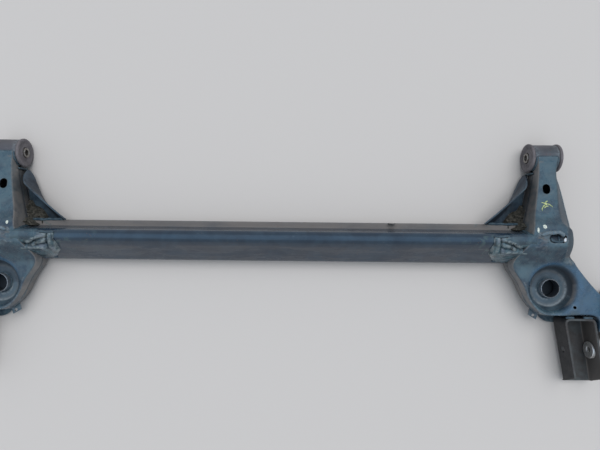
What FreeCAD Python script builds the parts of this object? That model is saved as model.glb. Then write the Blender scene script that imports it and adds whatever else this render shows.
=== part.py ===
"""Twist-beam rear axle of a small car, as a welded assembly of pressed steel parts.

Row frame, millimetres: X across the car (right is +X), Y towards the front of the car, Z up.
The origin is on the floor that the bare axle lies on, at the centre of its plan.
The right-hand parts are modelled, and the left-hand parts are their mirror images about X = 0.

    cross_beam        open V pressing that joins the two arms and twists when one wheel rises
    torsion_bar       round spring-steel bar inside the V, welded to the two bar end plates
    arm shells        upper and lower pressings that make the box-section trailing arm
    bush              eye tube, outer sleeve, rubber and the inner sleeve that the body bolt clamps
    spring cup        drawn seat for the coil spring, with a tube that centres the coil
    damper bracket    U channel that the lower eye of the damper is bolted into
    hub flange        thick plate that the stub axle is bolted to
"""

import FreeCAD, Part
import math
import os

import Sketcher

V = FreeCAD.Vector
ROTATE_TO_X = FreeCAD.Rotation(V(0, 1, 0), 90)  # turns a +Z axis to +X
YZ_PLANE = FreeCAD.Rotation(V(1, 1, 1), 120)  # turns a sketch's x, y and normal to +Y, +Z and +X

# ---------------------------------------------------------------- driving dimensions
DIMENSIONS = {
    # pivot bush
    "bush_x": 548.0,  # from the middle of the car to the middle of the bush
    "bush_y": 217.0,
    "bush_z": 29.0,
    "eye_od": 54.0,
    "eye_wall": 3.5,
    "eye_len": 50.0,
    "sleeve_wall": 1.5,
    "rubber_flange_od": 58.0,
    "rubber_flange_w": 6.0,
    "core_od": 20.0,
    "core_bore": 12.5,
    "core_len": 66.0,
    "running_gap": 0.05,  # radial, between the rubber and the inner sleeve
    # cross beam, an open V with a lip along its front edge
    "beam_end_x": 568.0,
    "beam_front_y": 80.0,
    "beam_rear_y": -1.0,
    "beam_low_z": 28.0,
    "beam_lip": 13.0,
    "beam_apex_y": 58.0,  # where the outer faces of the two flanks would meet
    "beam_apex_z": 104.0,
    "beam_apex_r": 14.0,
    "beam_lip_r": 4.0,
    "beam_wall": 5.0,
    "weld_gap": 0.5,  # root gap around the beam that the weld fills
    # torsion bar and the plate that holds each end of it
    "bar_od": 20.0,
    "bar_y": 41.0,
    "bar_z": 48.0,
    "bar_end_x": 470.0,
    "bar_plate_x": 450.0,
    "bar_plate_wall": 6.0,
    # trailing arm shells
    "shell_wall": 3.0,
    "split_z": 36.0,
    "arm_low_z": 6.0,
    "arm_bush_top_z": 59.0,
    "arm_mid_top_z": 70.0,
    "arm_beam_top_z": 88.0,
    "arm_rear_top_z": 58.0,
    "arm_rear_y": -105.0,
    "horn_front_y": -84.0,  # the horn is the stretch of the arm that reaches the hub flange
    "horn_rear_y": -136.0,
    "rear_ledge_y": -125.0,
    "arm_hole_x": 541.0,
    "arm_hole_y": 151.0,
    "arm_hole_w": 15.0,
    "arm_hole_len": 20.0,
    "weld_window_x": 554.0,
    "weld_window_y": 53.0,
    "weld_window_len": 34.0,
    "weld_window_w": 18.0,
    "drain_x": 605.0,
    "drain_y": -86.0,
    "drain_r": 3.0,
    # gusset between the arm and the beam
    "gusset_wall": 3.0,
    "gusset_low_z": 8.0,
    # saddle plate over the end of the beam
    "saddle_in_x": 430.0,
    "saddle_ridge_z": 78.0,
    "saddle_wall": 4.0,
    # coil spring seat
    "cup_x": 563.0,
    "cup_y": -50.0,
    "cup_floor_r": 40.0,
    "cup_rim_r": 46.0,
    "cup_wall": 3.0,
    "cup_floor_z": 30.0,
    "cup_rim_z": 58.0,
    "spigot_od": 39.0,
    "spigot_wall": 1.8,
    "spigot_low_z": 20.0,
    "spigot_top_z": 43.0,
    # damper bracket
    "bracket_wall": 4.0,
    "bracket_low_z": 9.0,
    "bracket_top_z": 60.0,
    "bracket_front_y": -108.0,
    "bracket_rear_y": -246.0,
    "bracket_front_in_x": 582.0,
    "bracket_front_out_x": 645.0,
    "bracket_rear_in_x": 607.0,
    "bracket_rear_out_x": 667.0,
    "bracket_corner_y": -222.0,  # where the sloping rear edge of each wall starts
    "damper_y": -176.0,
    "damper_z": 34.0,
    "damper_bore": 12.5,
    "boss_od": 34.0,
    "boss_in_x": 645.6,
    "nut_flats": 19.0,
    "nut_out_x": 667.0,
    # hub flange
    "hub_x": 698.0,
    "hub_y": -110.0,
    "hub_z": 58.0,
    "hub_wall": 10.0,
    "hub_w": 112.0,
    "hub_ht": 116.0,
    "hub_corner_r": 18.0,
    "hub_bore": 60.0,
    "hub_hole": 10.5,
    "hub_hole_dy": 70.0,
    "hub_hole_dz": 78.0,
    # small tabs
    "tab_wall": 2.5,
    "tab_w": 14.0,
    "pipe_tab_x": 232.0,
}

doc = FreeCAD.newDocument("twist_beam_axle")
sheet = doc.addObject("Spreadsheet::Sheet", "dims")


def fill_sheet():
    """One row for each driving dimension: its name, its value in millimetres, and the value's alias."""
    for row, (alias, value) in enumerate(DIMENSIONS.items(), 1):
        sheet.set(f"A{row}", alias)
        sheet.set(f"B{row}", str(value))
        sheet.setAlias(f"B{row}", alias)
    doc.recompute()


fill_sheet()


def dim(alias):
    """A driving dimension's value, as the sheet holds it."""
    return float(sheet.get(alias))


# ---------------------------------------------------------------- helpers
def bind(obj, **expressions):
    """Binds properties to the sheet. Two underscores in a name stand for a dot."""
    for name, expression in expressions.items():
        obj.setExpression(name.replace("__", "."), expression)
    return obj


def at(alias, offset=0.0):
    """A coordinate given as a driving dimension plus an offset: its value and its expression."""
    return dim(alias) + offset, f"dims.{alias} + ({offset})"


def outline(name, points, on_yz=False, radii=()):
    """A closed sketch through points, each a pair of at() coordinates bound to the sheet.

    radii holds (corner number, radius) for the corners that are rounded."""
    sketch = doc.addObject("Sketcher::SketchObject", name)
    if on_yz:
        sketch.Placement.Rotation = YZ_PLANE
    corners = [V(x[0], y[0], 0) for x, y in points]
    count = len(corners)
    for k in range(count):
        sketch.addGeometry(Part.LineSegment(corners[k], corners[(k + 1) % count]))
    for k in range(count):
        sketch.addConstraint(Sketcher.Constraint("Coincident", k, 2, (k + 1) % count, 1))
    for k, (x, y) in enumerate(points):
        for kind, (value, expression) in (("DistanceX", x), ("DistanceY", y)):
            number = sketch.addConstraint(Sketcher.Constraint(kind, -1, 1, k, 1, value))
            sketch.setExpression(f"Constraints[{number}]", expression)
    for corner, radius in radii:
        sketch.fillet((corner - 1) % count, corner, corners[corner], corners[corner], radius, True, True)
    return sketch


def prism(name, sketch, start, length):
    """A sketch extruded along its normal from start by length, which are expressions."""
    solid = doc.addObject("Part::Extrusion", name)
    solid.Base = sketch
    solid.DirMode = "Normal"
    solid.Solid = True
    bind(solid, LengthFwd=length)
    axis = "x" if sketch.Placement.Rotation.isSame(YZ_PLANE, 1e-9) else "z"
    solid.setExpression(f"Placement.Base.{axis}", start)
    return solid


def cylinder(name, radius, length, x, y, z, along_x=False):
    """A round bar that starts at x, y, z and runs up, or along X."""
    bar = doc.addObject("Part::Cylinder", name)
    bind(bar, Radius=radius, Height=length)
    if along_x:
        bar.Placement.Rotation = ROTATE_TO_X
    return bind(bar, Placement__Base__x=x, Placement__Base__y=y, Placement__Base__z=z)


def cone(name, low_radius, high_radius, height, x, y, z):
    """A cone with its axis along Z, widening from its low radius to its high one."""
    funnel = doc.addObject("Part::Cone", name)
    bind(funnel, Radius1=low_radius, Radius2=high_radius, Height=height)
    return bind(funnel, Placement__Base__x=x, Placement__Base__y=y, Placement__Base__z=z)


def combine(kind, name, first, *others):
    """A chain of two-piece booleans of one kind, Cut or Fuse or Common."""
    result = first
    for number, other in enumerate(others, 1):
        last = number == len(others)
        step = doc.addObject(f"Part::{kind}", name if last else f"{name}_step_{number}")
        step.Base = result
        step.Tool = other
        result = step
    return result


def tube(name, outer, inner, length, x, y, z, along_x=False, inner_extra=1.0):
    """A round tube, given its outer and inner radii."""
    skin = cylinder(f"{name}_outside", outer, length, x, y, z, along_x)
    long_way = f"{length} + {2 * inner_extra}"
    if along_x:
        bore = cylinder(f"{name}_inside", inner, long_way, f"{x} - {inner_extra}", y, z, True)
    else:
        bore = cylinder(f"{name}_inside", inner, long_way, x, y, f"{z} - {inner_extra}")
    return combine("Cut", name, skin, bore)


# ---------------------------------------------------------------- pivot bush
BUSH_AT = ("dims.bush_y", "dims.bush_z")


def from_bush_middle(length):
    return f"dims.bush_x - ({length}) / 2"


def make_bush():
    eye_bore_r = "(dims.eye_od / 2 - dims.eye_wall)"
    rubber_r = f"({eye_bore_r} - dims.sleeve_wall)"
    rubber_len = "(dims.eye_len + 2 * dims.rubber_flange_w)"
    eye = tube("bush_eye", "dims.eye_od / 2", eye_bore_r, "dims.eye_len",
               from_bush_middle("dims.eye_len"), *BUSH_AT, along_x=True)
    sleeve = tube("bush_outer_sleeve", eye_bore_r, rubber_r, "dims.eye_len",
                  from_bush_middle("dims.eye_len"), *BUSH_AT, along_x=True)
    core = tube("bush_inner_sleeve", "dims.core_od / 2", "dims.core_bore / 2", "dims.core_len",
                from_bush_middle("dims.core_len"), *BUSH_AT, along_x=True)
    barrel = cylinder("rubber_barrel", rubber_r, rubber_len, from_bush_middle(rubber_len), *BUSH_AT, True)
    flanges = [
        cylinder(f"rubber_flange_{side}", "dims.rubber_flange_od / 2", "dims.rubber_flange_w", start, *BUSH_AT, True)
        for side, start in (
            ("in", from_bush_middle(rubber_len)),
            ("out", "dims.bush_x + dims.eye_len / 2"),
        )
    ]
    body = combine("Fuse", "rubber_body", barrel, *flanges)
    bore = cylinder("rubber_bore", "dims.core_od / 2 + dims.running_gap", f"{rubber_len} + 2",
                    f"{from_bush_middle(rubber_len)} - 1", *BUSH_AT, True)
    return [eye, sleeve, core, combine("Cut", "bush_rubber", body, bore)]


# ---------------------------------------------------------------- cross beam and torsion bar
def offset_line(start, end, distance):
    """The line through start and end, moved to its right by distance: a point on it and its direction."""
    along = (end - start).normalize()
    return start + V(along.y, -along.x, 0) * distance, along


def crossing(first, second):
    """Where two lines in the plane meet, each given as a point and a direction."""
    (p, u), (q, w) = first, second
    share = ((q - p).x * w.y - (q - p).y * w.x) / (u.x * w.y - u.y * w.x)
    return p + u * share


def beam_lines(inward):
    """Corners of the V's outer face moved inward: lip edge, lip root, apex, rear edge, in Y and Z."""
    lip_edge = V(dim("beam_front_y"), dim("beam_low_z") + dim("beam_wall"), 0)
    lip_root = V(dim("beam_front_y") - dim("beam_lip"), lip_edge.y, 0)
    apex = V(dim("beam_apex_y"), dim("beam_apex_z"), 0)
    rear_edge = V(dim("beam_rear_y"), dim("beam_low_z") + 2, 0)
    lip = offset_line(lip_edge, lip_root, -inward)
    front = offset_line(lip_root, apex, -inward)
    rear = offset_line(apex, rear_edge, -inward)
    square_to_rear = (rear_edge, V(rear[1].y, -rear[1].x, 0))
    return [
        V(lip_edge.x, lip_edge.y - inward, 0),
        crossing(lip, front),
        crossing(front, rear),
        crossing(rear, square_to_rear),
    ]


def rounded_path(points, radii):
    """Edges through points in order, with a round corner of the given radius at each inner point."""
    edges, start = [], points[0]
    for before, corner, after, radius in zip(points, points[1:], points[2:], radii):
        back, ahead = (before - corner).normalize(), (after - corner).normalize()
        half = back.getAngle(ahead) / 2
        bisector = (back + ahead).normalize()
        centre = corner + bisector * (radius / math.sin(half))
        reach = radius / math.tan(half)
        middle = centre - bisector * radius
        edges.append(Part.makeLine(start, corner + back * reach))
        edges.append(Part.Arc(corner + back * reach, middle, corner + ahead * reach).toShape())
        start = corner + ahead * reach
    edges.append(Part.makeLine(start, points[-1]))
    return edges


def beam_section(outer_inward, inner_inward):
    """The closed wire between two offsets of the V's outer face."""
    apex_r, lip_r, wall = dim("beam_apex_r"), dim("beam_lip_r"), dim("beam_wall")
    outside, inside = beam_lines(outer_inward), beam_lines(inner_inward)
    first = rounded_path(outside, [lip_r + outer_inward, apex_r - outer_inward])
    second = rounded_path(inside, [lip_r + inner_inward, apex_r - inner_inward])
    ends = [Part.makeLine(outside[-1], inside[-1]), Part.makeLine(inside[0], outside[0])]
    return Part.Wire(Part.__sortEdges__(first + ends + second))


def along_x(wire, start, end):
    """A wire drawn in X and Y as the section's Y and Z, extruded along X."""
    placed = wire.copy()
    placed.Placement = FreeCAD.Placement(V(start, 0, 0), YZ_PLANE)
    return Part.Face(placed).extrude(V(end - start, 0, 0))


def make_cross_beam():
    """The V's rounded bends are worked out from its offset lines, so it is made with Part's own functions."""
    beam = doc.addObject("Part::Feature", "cross_beam")
    beam.Shape = along_x(beam_section(0, dim("beam_wall")), -dim("beam_end_x"), dim("beam_end_x"))
    return beam


def make_beam_envelope():
    """All that the beam and its weld gap take up, with the space inside the V, at the right-hand end."""
    gap = dim("weld_gap")
    edges = rounded_path(beam_lines(-gap), [dim("beam_lip_r") - gap, dim("beam_apex_r") + gap])
    low = beam_lines(dim("beam_wall"))[-1].y - gap
    front, rear = dim("beam_front_y") + gap, dim("beam_rear_y") - 2 * gap
    first, last = edges[0].Vertexes[0].Point, edges[-1].Vertexes[-1].Point
    closing = [last, V(rear, last.y, 0), V(rear, low, 0), V(front, low, 0), V(front, first.y, 0), first]
    edges += [Part.makeLine(a, b) for a, b in zip(closing, closing[1:]) if (b - a).Length > 1e-6]
    envelope = doc.addObject("Part::Feature", "beam_envelope")
    envelope.Shape = along_x(Part.Wire(Part.__sortEdges__(edges)), 400, dim("beam_end_x") + 4)
    return envelope


def make_torsion_bar():
    return cylinder("torsion_bar", "dims.bar_od / 2", "2 * dims.bar_end_x", "-dims.bar_end_x",
                    "dims.bar_y", "dims.bar_z", True)


def make_bar_plate():
    """Closes the V near its end, between the flanks, and holds the torsion bar."""
    gap = dim("beam_wall") + dim("weld_gap")
    corners = beam_lines(gap)
    low = dim("beam_low_z") + 4
    front = (corners[1], (corners[2] - corners[1]).normalize())
    rear = (corners[2], (corners[3] - corners[2]).normalize())
    level = (V(0, low, 0), V(1, 0, 0))
    edges = rounded_path([crossing(front, level), corners[2], crossing(rear, level)], [dim("beam_apex_r") - gap])
    edges.append(Part.makeLine(edges[-1].Vertexes[-1].Point, edges[0].Vertexes[0].Point))
    blank = doc.addObject("Part::Feature", "bar_plate_blank")
    start = dim("bar_plate_x")
    blank.Shape = along_x(Part.Wire(Part.__sortEdges__(edges)), start, start + dim("bar_plate_wall"))
    hole = cylinder("bar_plate_hole", "dims.bar_od / 2 + 0.3", "dims.bar_plate_wall + 2",
                    "dims.bar_plate_x - 1", "dims.bar_y", "dims.bar_z", True)
    return combine("Cut", "bar_end_plate", blank, hole)


# ---------------------------------------------------------------- trailing arm
def arm_outline(name):
    """Plan of the arm, from the eye back past the beam and the spring seat to the hub flange."""
    inboard = [
        (at("bush_x", -21), at("bush_y")),
        (at("bush_x", -21), at("bush_y", -31)),
        (at("bush_x", -30), at("bush_y", -88)),
        (at("bush_x", -40), at("beam_front_y", 2)),
        (at("bush_x", -48), at("beam_front_y", -30)),
        (at("cup_x", -87), at("beam_rear_y")),
        (at("cup_x", -66), at("cup_y", 9)),
        (at("cup_x", -46), at("cup_y", -30)),
        (at("cup_x", -22), at("arm_rear_y", 3)),
        (at("cup_x", 17), at("arm_rear_y")),
    ]
    hub_face = dim("hub_wall")
    outboard = [
        (at("bracket_front_out_x", 1), at("arm_rear_y")),
        (at("bracket_front_out_x", 10), at("arm_rear_y", -8)),
        (at("bracket_front_out_x", 10), at("horn_rear_y")),
        (at("hub_x", -hub_face), at("horn_rear_y")),
        (at("hub_x", -hub_face), at("horn_front_y")),
        (at("cup_x", 89), at("cup_y", -1)),
        (at("cup_x", 59), at("cup_y", 34)),
        (at("cup_x", 36), at("beam_rear_y", 20)),
        (at("bush_x", 56), at("beam_front_y", -20)),
        (at("bush_x", 54), at("beam_front_y", -2)),
        (at("bush_x", 46), at("bush_y", -105)),
        (at("bush_x", 35), at("bush_y", -64)),
        (at("bush_x", 24), at("bush_y", -31)),
        (at("bush_x", 21), at("bush_y")),
    ]
    return outline(name, inboard + outboard)


def arm_side_profile(name, alias_drop):
    """What is under the arm's top line, seen from the side, lowered by alias_drop."""
    top = [
        (at("bush_y", 5), at("arm_bush_top_z", -alias_drop)),
        (at("bush_y", -37), at("arm_bush_top_z", 1 - alias_drop)),
        (at("bush_y", -97), at("arm_mid_top_z", -alias_drop)),
        (at("beam_front_y", 6), at("arm_beam_top_z", -6 - alias_drop)),
        (at("beam_front_y", -8), at("arm_beam_top_z", -alias_drop)),
        (at("beam_front_y", -40), at("arm_beam_top_z", -alias_drop)),
        (at("beam_rear_y", 8), at("arm_rear_top_z", -alias_drop)),
        (at("horn_rear_y", -5), at("arm_rear_top_z", -alias_drop)),
    ]
    floor = [(at("horn_rear_y", -5), at("arm_low_z", -5)), (at("bush_y", 5), at("arm_low_z", -5))]
    return outline(name, top + floor, on_yz=True)


def weld_window():
    """Cutters for a slot with round ends in the arm's top, where the beam's end is plug-welded from above."""
    low = "dims.arm_beam_top_z - 4.5"
    straight = "(dims.weld_window_len - dims.weld_window_w)"
    middle = doc.addObject("Part::Box", "weld_window_middle")
    bind(middle, Length=straight, Width="dims.weld_window_w", Height="40",
         Placement__Base__x=f"dims.weld_window_x - {straight} / 2",
         Placement__Base__y="dims.weld_window_y - dims.weld_window_w / 2", Placement__Base__z=low)
    ends = [
        cylinder(f"weld_window_{side}", "dims.weld_window_w / 2", "40", f"dims.weld_window_x {sign} {straight} / 2",
                 "dims.weld_window_y", low)
        for side, sign in (("in", "-"), ("out", "+"))
    ]
    return [middle, *ends]


def inner_outline(name, sketch):
    """A sketch's outline moved in by the shell's wall."""
    inner = doc.addObject("Part::Offset2D", name)
    inner.Source = sketch
    inner.Join = 2
    return bind(inner, Value="-dims.shell_wall")


def make_arm_shells(envelope):
    plan = arm_outline("arm_plan")
    inner_plan = inner_outline("arm_plan_inside", plan)
    side_len = "dims.hub_x - dims.saddle_in_x + 20"
    solids = {}
    for label, source, drop in (("outside", plan, 0.0), ("inside", inner_plan, dim("shell_wall"))):
        column = prism(f"arm_column_{label}", source, "dims.split_z", "dims.arm_beam_top_z")
        side = prism(f"arm_side_{label}", arm_side_profile(f"arm_profile_{label}", drop),
                     "dims.saddle_in_x - 10", side_len)
        solids[label] = combine("Common", f"arm_top_{label}", column, side)
    eye_space = cylinder("eye_space", "dims.eye_od / 2 + 0.1", "dims.eye_len + 10",
                         "dims.bush_x - dims.eye_len / 2 - 5", *BUSH_AT, True)
    cup_hole = cylinder("cup_hole", "dims.cup_rim_r + dims.cup_wall + 0.2", "60", "dims.cup_x", "dims.cup_y", "dims.split_z - 1")
    drain = cylinder("drain_hole", "dims.drain_r", "40", "dims.drain_x", "dims.drain_y", "dims.split_z")
    slot_ends = [
        cylinder(f"arm_hole_{side}", "dims.arm_hole_w / 2", "60", "dims.arm_hole_x",
                 f"dims.arm_hole_y {sign} (dims.arm_hole_len - dims.arm_hole_w) / 2", "dims.split_z")
        for side, sign in (("front", "+"), ("rear", "-"))
    ]
    upper = combine("Cut", "arm_upper_shell", solids["outside"], solids["inside"], envelope, eye_space,
                    cup_hole, drain, *slot_ends, *weld_window())

    tray_out = prism("tray_outside", plan, "dims.arm_low_z", "dims.split_z - dims.arm_low_z - 0.1")
    tray_in = prism("tray_inside", inner_plan, "dims.arm_low_z + dims.shell_wall", "dims.split_z")
    ledge = outline("rear_ledge_plan", [
        (at("cup_x", -15), at("arm_rear_y", 4)),
        (at("cup_x", 12), at("rear_ledge_y")),
        (at("bracket_front_out_x", -5), at("rear_ledge_y")),
        (at("bracket_front_out_x", -5), at("arm_rear_y", 1)),
    ])
    ledge_plate = prism("rear_ledge", ledge, "dims.arm_low_z", "dims.shell_wall")
    tray = combine("Fuse", "tray_with_ledge", tray_out, ledge_plate)
    lower = combine("Cut", "arm_lower_shell", tray, tray_in, envelope, eye_space)
    return plan, [upper, lower]


# ---------------------------------------------------------------- gusset and saddle
def make_gusset():
    """Pocket-shaped brace in the corner between the beam's front lip and the arm's inboard wall."""
    outer_edge = [
        (at("bush_x", -125), at("beam_front_y", 1)),
        (at("bush_x", -78), at("beam_front_y", 45)),
        (at("bush_x", -52), at("beam_front_y", 70)),
        (at("bush_x", -43), at("beam_front_y", 92)),
        (at("bush_x", -36), at("bush_y", -36)),
    ]
    arm_side = [
        (at("bush_x", -22), at("bush_y", -34)),
        (at("bush_x", -31), at("bush_y", -88)),
        (at("bush_x", -41), at("beam_front_y", 1)),
    ]
    plan = outline("gusset_plan", outer_edge + arm_side)
    reach = 9.0  # how far the cutter runs past the open sides
    wall = dim("gusset_wall")
    pocket = outline("gusset_pocket_plan", [
        (at("bush_x", -125 + 2.4 * wall), at("beam_front_y", -reach)),
        (at("bush_x", -125 + 2.4 * wall), at("beam_front_y", 1)),
        (at("bush_x", -78 + 0.7 * wall), at("beam_front_y", 45 - 0.7 * wall)),
        (at("bush_x", -52 + 0.8 * wall), at("beam_front_y", 70 - 0.5 * wall)),
        (at("bush_x", -43 + 0.95 * wall), at("beam_front_y", 92)),
        (at("bush_x", -36 + wall), at("bush_y", -36 - wall)),
        (at("bush_x", reach), at("bush_y", -36 - wall)),
        (at("bush_x", reach), at("beam_front_y", -reach)),
    ])
    side = outline("gusset_side_profile", [
        (at("beam_front_y", -reach), at("gusset_low_z")),
        (at("beam_front_y", -reach), at("split_z", 8)),
        (at("beam_front_y", 20), at("split_z", 20)),
        (at("beam_front_y", 70), at("arm_mid_top_z", -8)),
        (at("beam_front_y", 78), at("arm_mid_top_z", -20)),
        (at("bush_y", -34), at("gusset_low_z", 14)),
        (at("bush_y", -34), at("gusset_low_z")),
    ], on_yz=True)
    column = prism("gusset_column", plan, "dims.gusset_low_z", "dims.arm_mid_top_z")
    slab = prism("gusset_slab", side, "dims.bush_x - 140", "140")
    blank = combine("Common", "gusset_blank", column, slab)
    pocket_space = prism("gusset_pocket", pocket, "dims.gusset_low_z + dims.gusset_wall", "dims.arm_beam_top_z")
    lip_room = doc.addObject("Part::Box", "beam_lip_room")
    bind(lip_room, Length="200", Width="dims.weld_gap + 20", Height="dims.beam_apex_z",
         Placement__Base__x="dims.bush_x - 150", Placement__Base__y="dims.beam_front_y - 20",
         Placement__Base__z="dims.beam_low_z - dims.weld_gap")
    return combine("Cut", "arm_gusset", blank, pocket_space, lip_room)


def make_saddle(plan):
    """Folded plate that carries the end of the beam's rear flank into the arm."""
    wall, gap = dim("saddle_wall"), dim("weld_gap")
    top = beam_lines(-gap)
    ridge = V(top[2].x - 31, dim("saddle_ridge_z"), 0)
    foot = V(dim("beam_rear_y") + 5, dim("beam_low_z") + 10, 0)
    crest = V(top[2].x - 6, dim("arm_beam_top_z") - 1.5, 0)
    outer = [crest, ridge, foot]
    inner = [V(p.x + 0.25 * wall, p.y - wall, 0) for p in outer]
    section = doc.addObject("Part::Feature", "saddle_section")
    wire = Part.makePolygon(outer + inner[::-1] + outer[:1])
    section.Shape = along_x(wire, dim("saddle_in_x"), dim("bush_x"))
    beam_space = doc.addObject("Part::Feature", "saddle_beam_space")
    edges = rounded_path(beam_lines(-gap), [dim("beam_lip_r") - gap, dim("beam_apex_r") + gap])
    first, last = edges[0].Vertexes[0].Point, edges[-1].Vertexes[-1].Point
    floor = V(last.x, dim("beam_low_z") - 5, 0)
    front = V(first.x, floor.y, 0)
    edges += [Part.makeLine(a, b) for a, b in ((last, floor), (floor, front), (front, first))]
    beam_space.Shape = along_x(Part.Wire(Part.__sortEdges__(edges)), dim("saddle_in_x") - 5, dim("bush_x") + 5)
    arm_space = prism("saddle_arm_space", plan, "0", "2 * dims.arm_beam_top_z")
    return combine("Cut", "beam_saddle", section, beam_space, arm_space)


# ---------------------------------------------------------------- spring seat
def make_spring_seat():
    centre = ("dims.cup_x", "dims.cup_y")
    low = "dims.cup_floor_z - dims.cup_wall"
    depth = "dims.cup_rim_z - dims.cup_floor_z"
    outside = cone("cup_outside", "dims.cup_floor_r + dims.cup_wall", "dims.cup_rim_r + dims.cup_wall",
                   f"{depth} + dims.cup_wall", *centre, low)
    inside = cone("cup_inside", "dims.cup_floor_r", "dims.cup_rim_r", depth, *centre, "dims.cup_floor_z")
    middle = cylinder("cup_middle_hole", "dims.spigot_od / 2 + 0.05", "dims.cup_wall + 2", *centre, f"{low} - 1")
    cup = combine("Cut", "spring_cup", outside, inside, middle)
    spigot = tube("spring_spigot", "dims.spigot_od / 2", "dims.spigot_od / 2 - dims.spigot_wall",
                  "dims.spigot_top_z - dims.spigot_low_z", *centre, "dims.spigot_low_z")
    return [cup, spigot]


# ---------------------------------------------------------------- damper bracket
def bracket_plan(name, inset):
    """Plan of the channel, moved in by inset at its front and sides and left long at its rear."""
    past = 4.0 if inset else 0.0
    return outline(name, [
        (at("bracket_front_in_x", 1.15 * inset), at("bracket_front_y", -inset)),
        (at("bracket_front_out_x", -1.15 * inset), at("bracket_front_y", -inset)),
        (at("bracket_rear_out_x", -1.15 * inset), at("bracket_rear_y", -past)),
        (at("bracket_rear_in_x", 1.15 * inset), at("bracket_rear_y", -past)),
    ])


def make_damper_bracket():
    wall = dim("bracket_wall")
    block = prism("bracket_block", bracket_plan("bracket_plan_outside", 0.0), "dims.bracket_low_z",
                  "dims.bracket_top_z - dims.bracket_low_z")
    space = prism("bracket_space", bracket_plan("bracket_plan_inside", wall),
                  "dims.bracket_low_z + dims.bracket_wall", "dims.bracket_top_z")
    slope = outline("bracket_slope_plan", [
        (at("bracket_corner_y"), at("bracket_top_z", 5)),
        (at("bracket_corner_y"), at("bracket_top_z")),
        (at("bracket_rear_y"), at("bracket_low_z", 10)),
        (at("bracket_rear_y", -5), at("bracket_low_z", 10)),
        (at("bracket_rear_y", -5), at("bracket_top_z", 5)),
    ], on_yz=True)
    slope_cut = prism("bracket_slope", slope, "dims.bracket_front_in_x - 10", "120")
    bolt_from = "dims.bracket_front_in_x - 5"
    bolt = cylinder("damper_bolt_space", "dims.damper_bore / 2", "110", bolt_from, "dims.damper_y", "dims.damper_z", True)
    bracket = combine("Cut", "damper_bracket", block, space, slope_cut, bolt)

    boss_len = "dims.nut_out_x - dims.boss_in_x"
    disc = cylinder("boss_disc", "dims.boss_od / 2", boss_len, "dims.boss_in_x", "dims.damper_y", "dims.damper_z", True)
    ring = combine("Cut", "boss_ring", disc, bolt)
    boss = combine("Common", "damper_boss", ring, space)

    hexagon = doc.addObject("Part::Prism", "nut_hexagon")
    hexagon.Polygon = 6
    hexagon.Placement.Rotation = ROTATE_TO_X
    bind(hexagon, Circumradius=f"dims.nut_flats / {math.sqrt(3)}", Height="20",
         Placement__Base__x="dims.nut_out_x - 20", Placement__Base__y="dims.damper_y",
         Placement__Base__z="dims.damper_z")
    whole_block = prism("nut_limit", block.Base, "0", "2 * dims.bracket_top_z")
    nut = combine("Cut", "damper_weld_nut", hexagon, whole_block, bolt)
    return [bracket, boss, nut]


# ---------------------------------------------------------------- hub flange
def plane_of(body, role):
    """One of a body's own origin planes."""
    return next(feature for feature in body.Origin.OriginFeatures if feature.Role == role)


def body_sketch(body, name, inside):
    """A sketch on the body's YZ plane, moved out along X to the flange's inner face."""
    sketch = body.newObject("Sketcher::SketchObject", name)
    sketch.AttachmentSupport = (plane_of(body, "YZ_Plane"), [""])
    sketch.MapMode = "FlatFace"
    sketch.setExpression("AttachmentOffset.Base.z", inside)
    return sketch


def circle_on(sketch, radius, y, z):
    """A circle bound to the sheet, with radius, y and z given as (value, expression)."""
    number = sketch.addGeometry(Part.Circle(V(y[0], z[0], 0), V(0, 0, 1), radius[0]))
    for kind, where, (value, expression) in (("DistanceX", (-1, 1, number, 3), y), ("DistanceY", (-1, 1, number, 3), z)):
        constraint = sketch.addConstraint(Sketcher.Constraint(kind, *where, value))
        sketch.setExpression(f"Constraints[{constraint}]", expression)
    constraint = sketch.addConstraint(Sketcher.Constraint("Radius", number, radius[0]))
    sketch.setExpression(f"Constraints[{constraint}]", radius[1])


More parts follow.
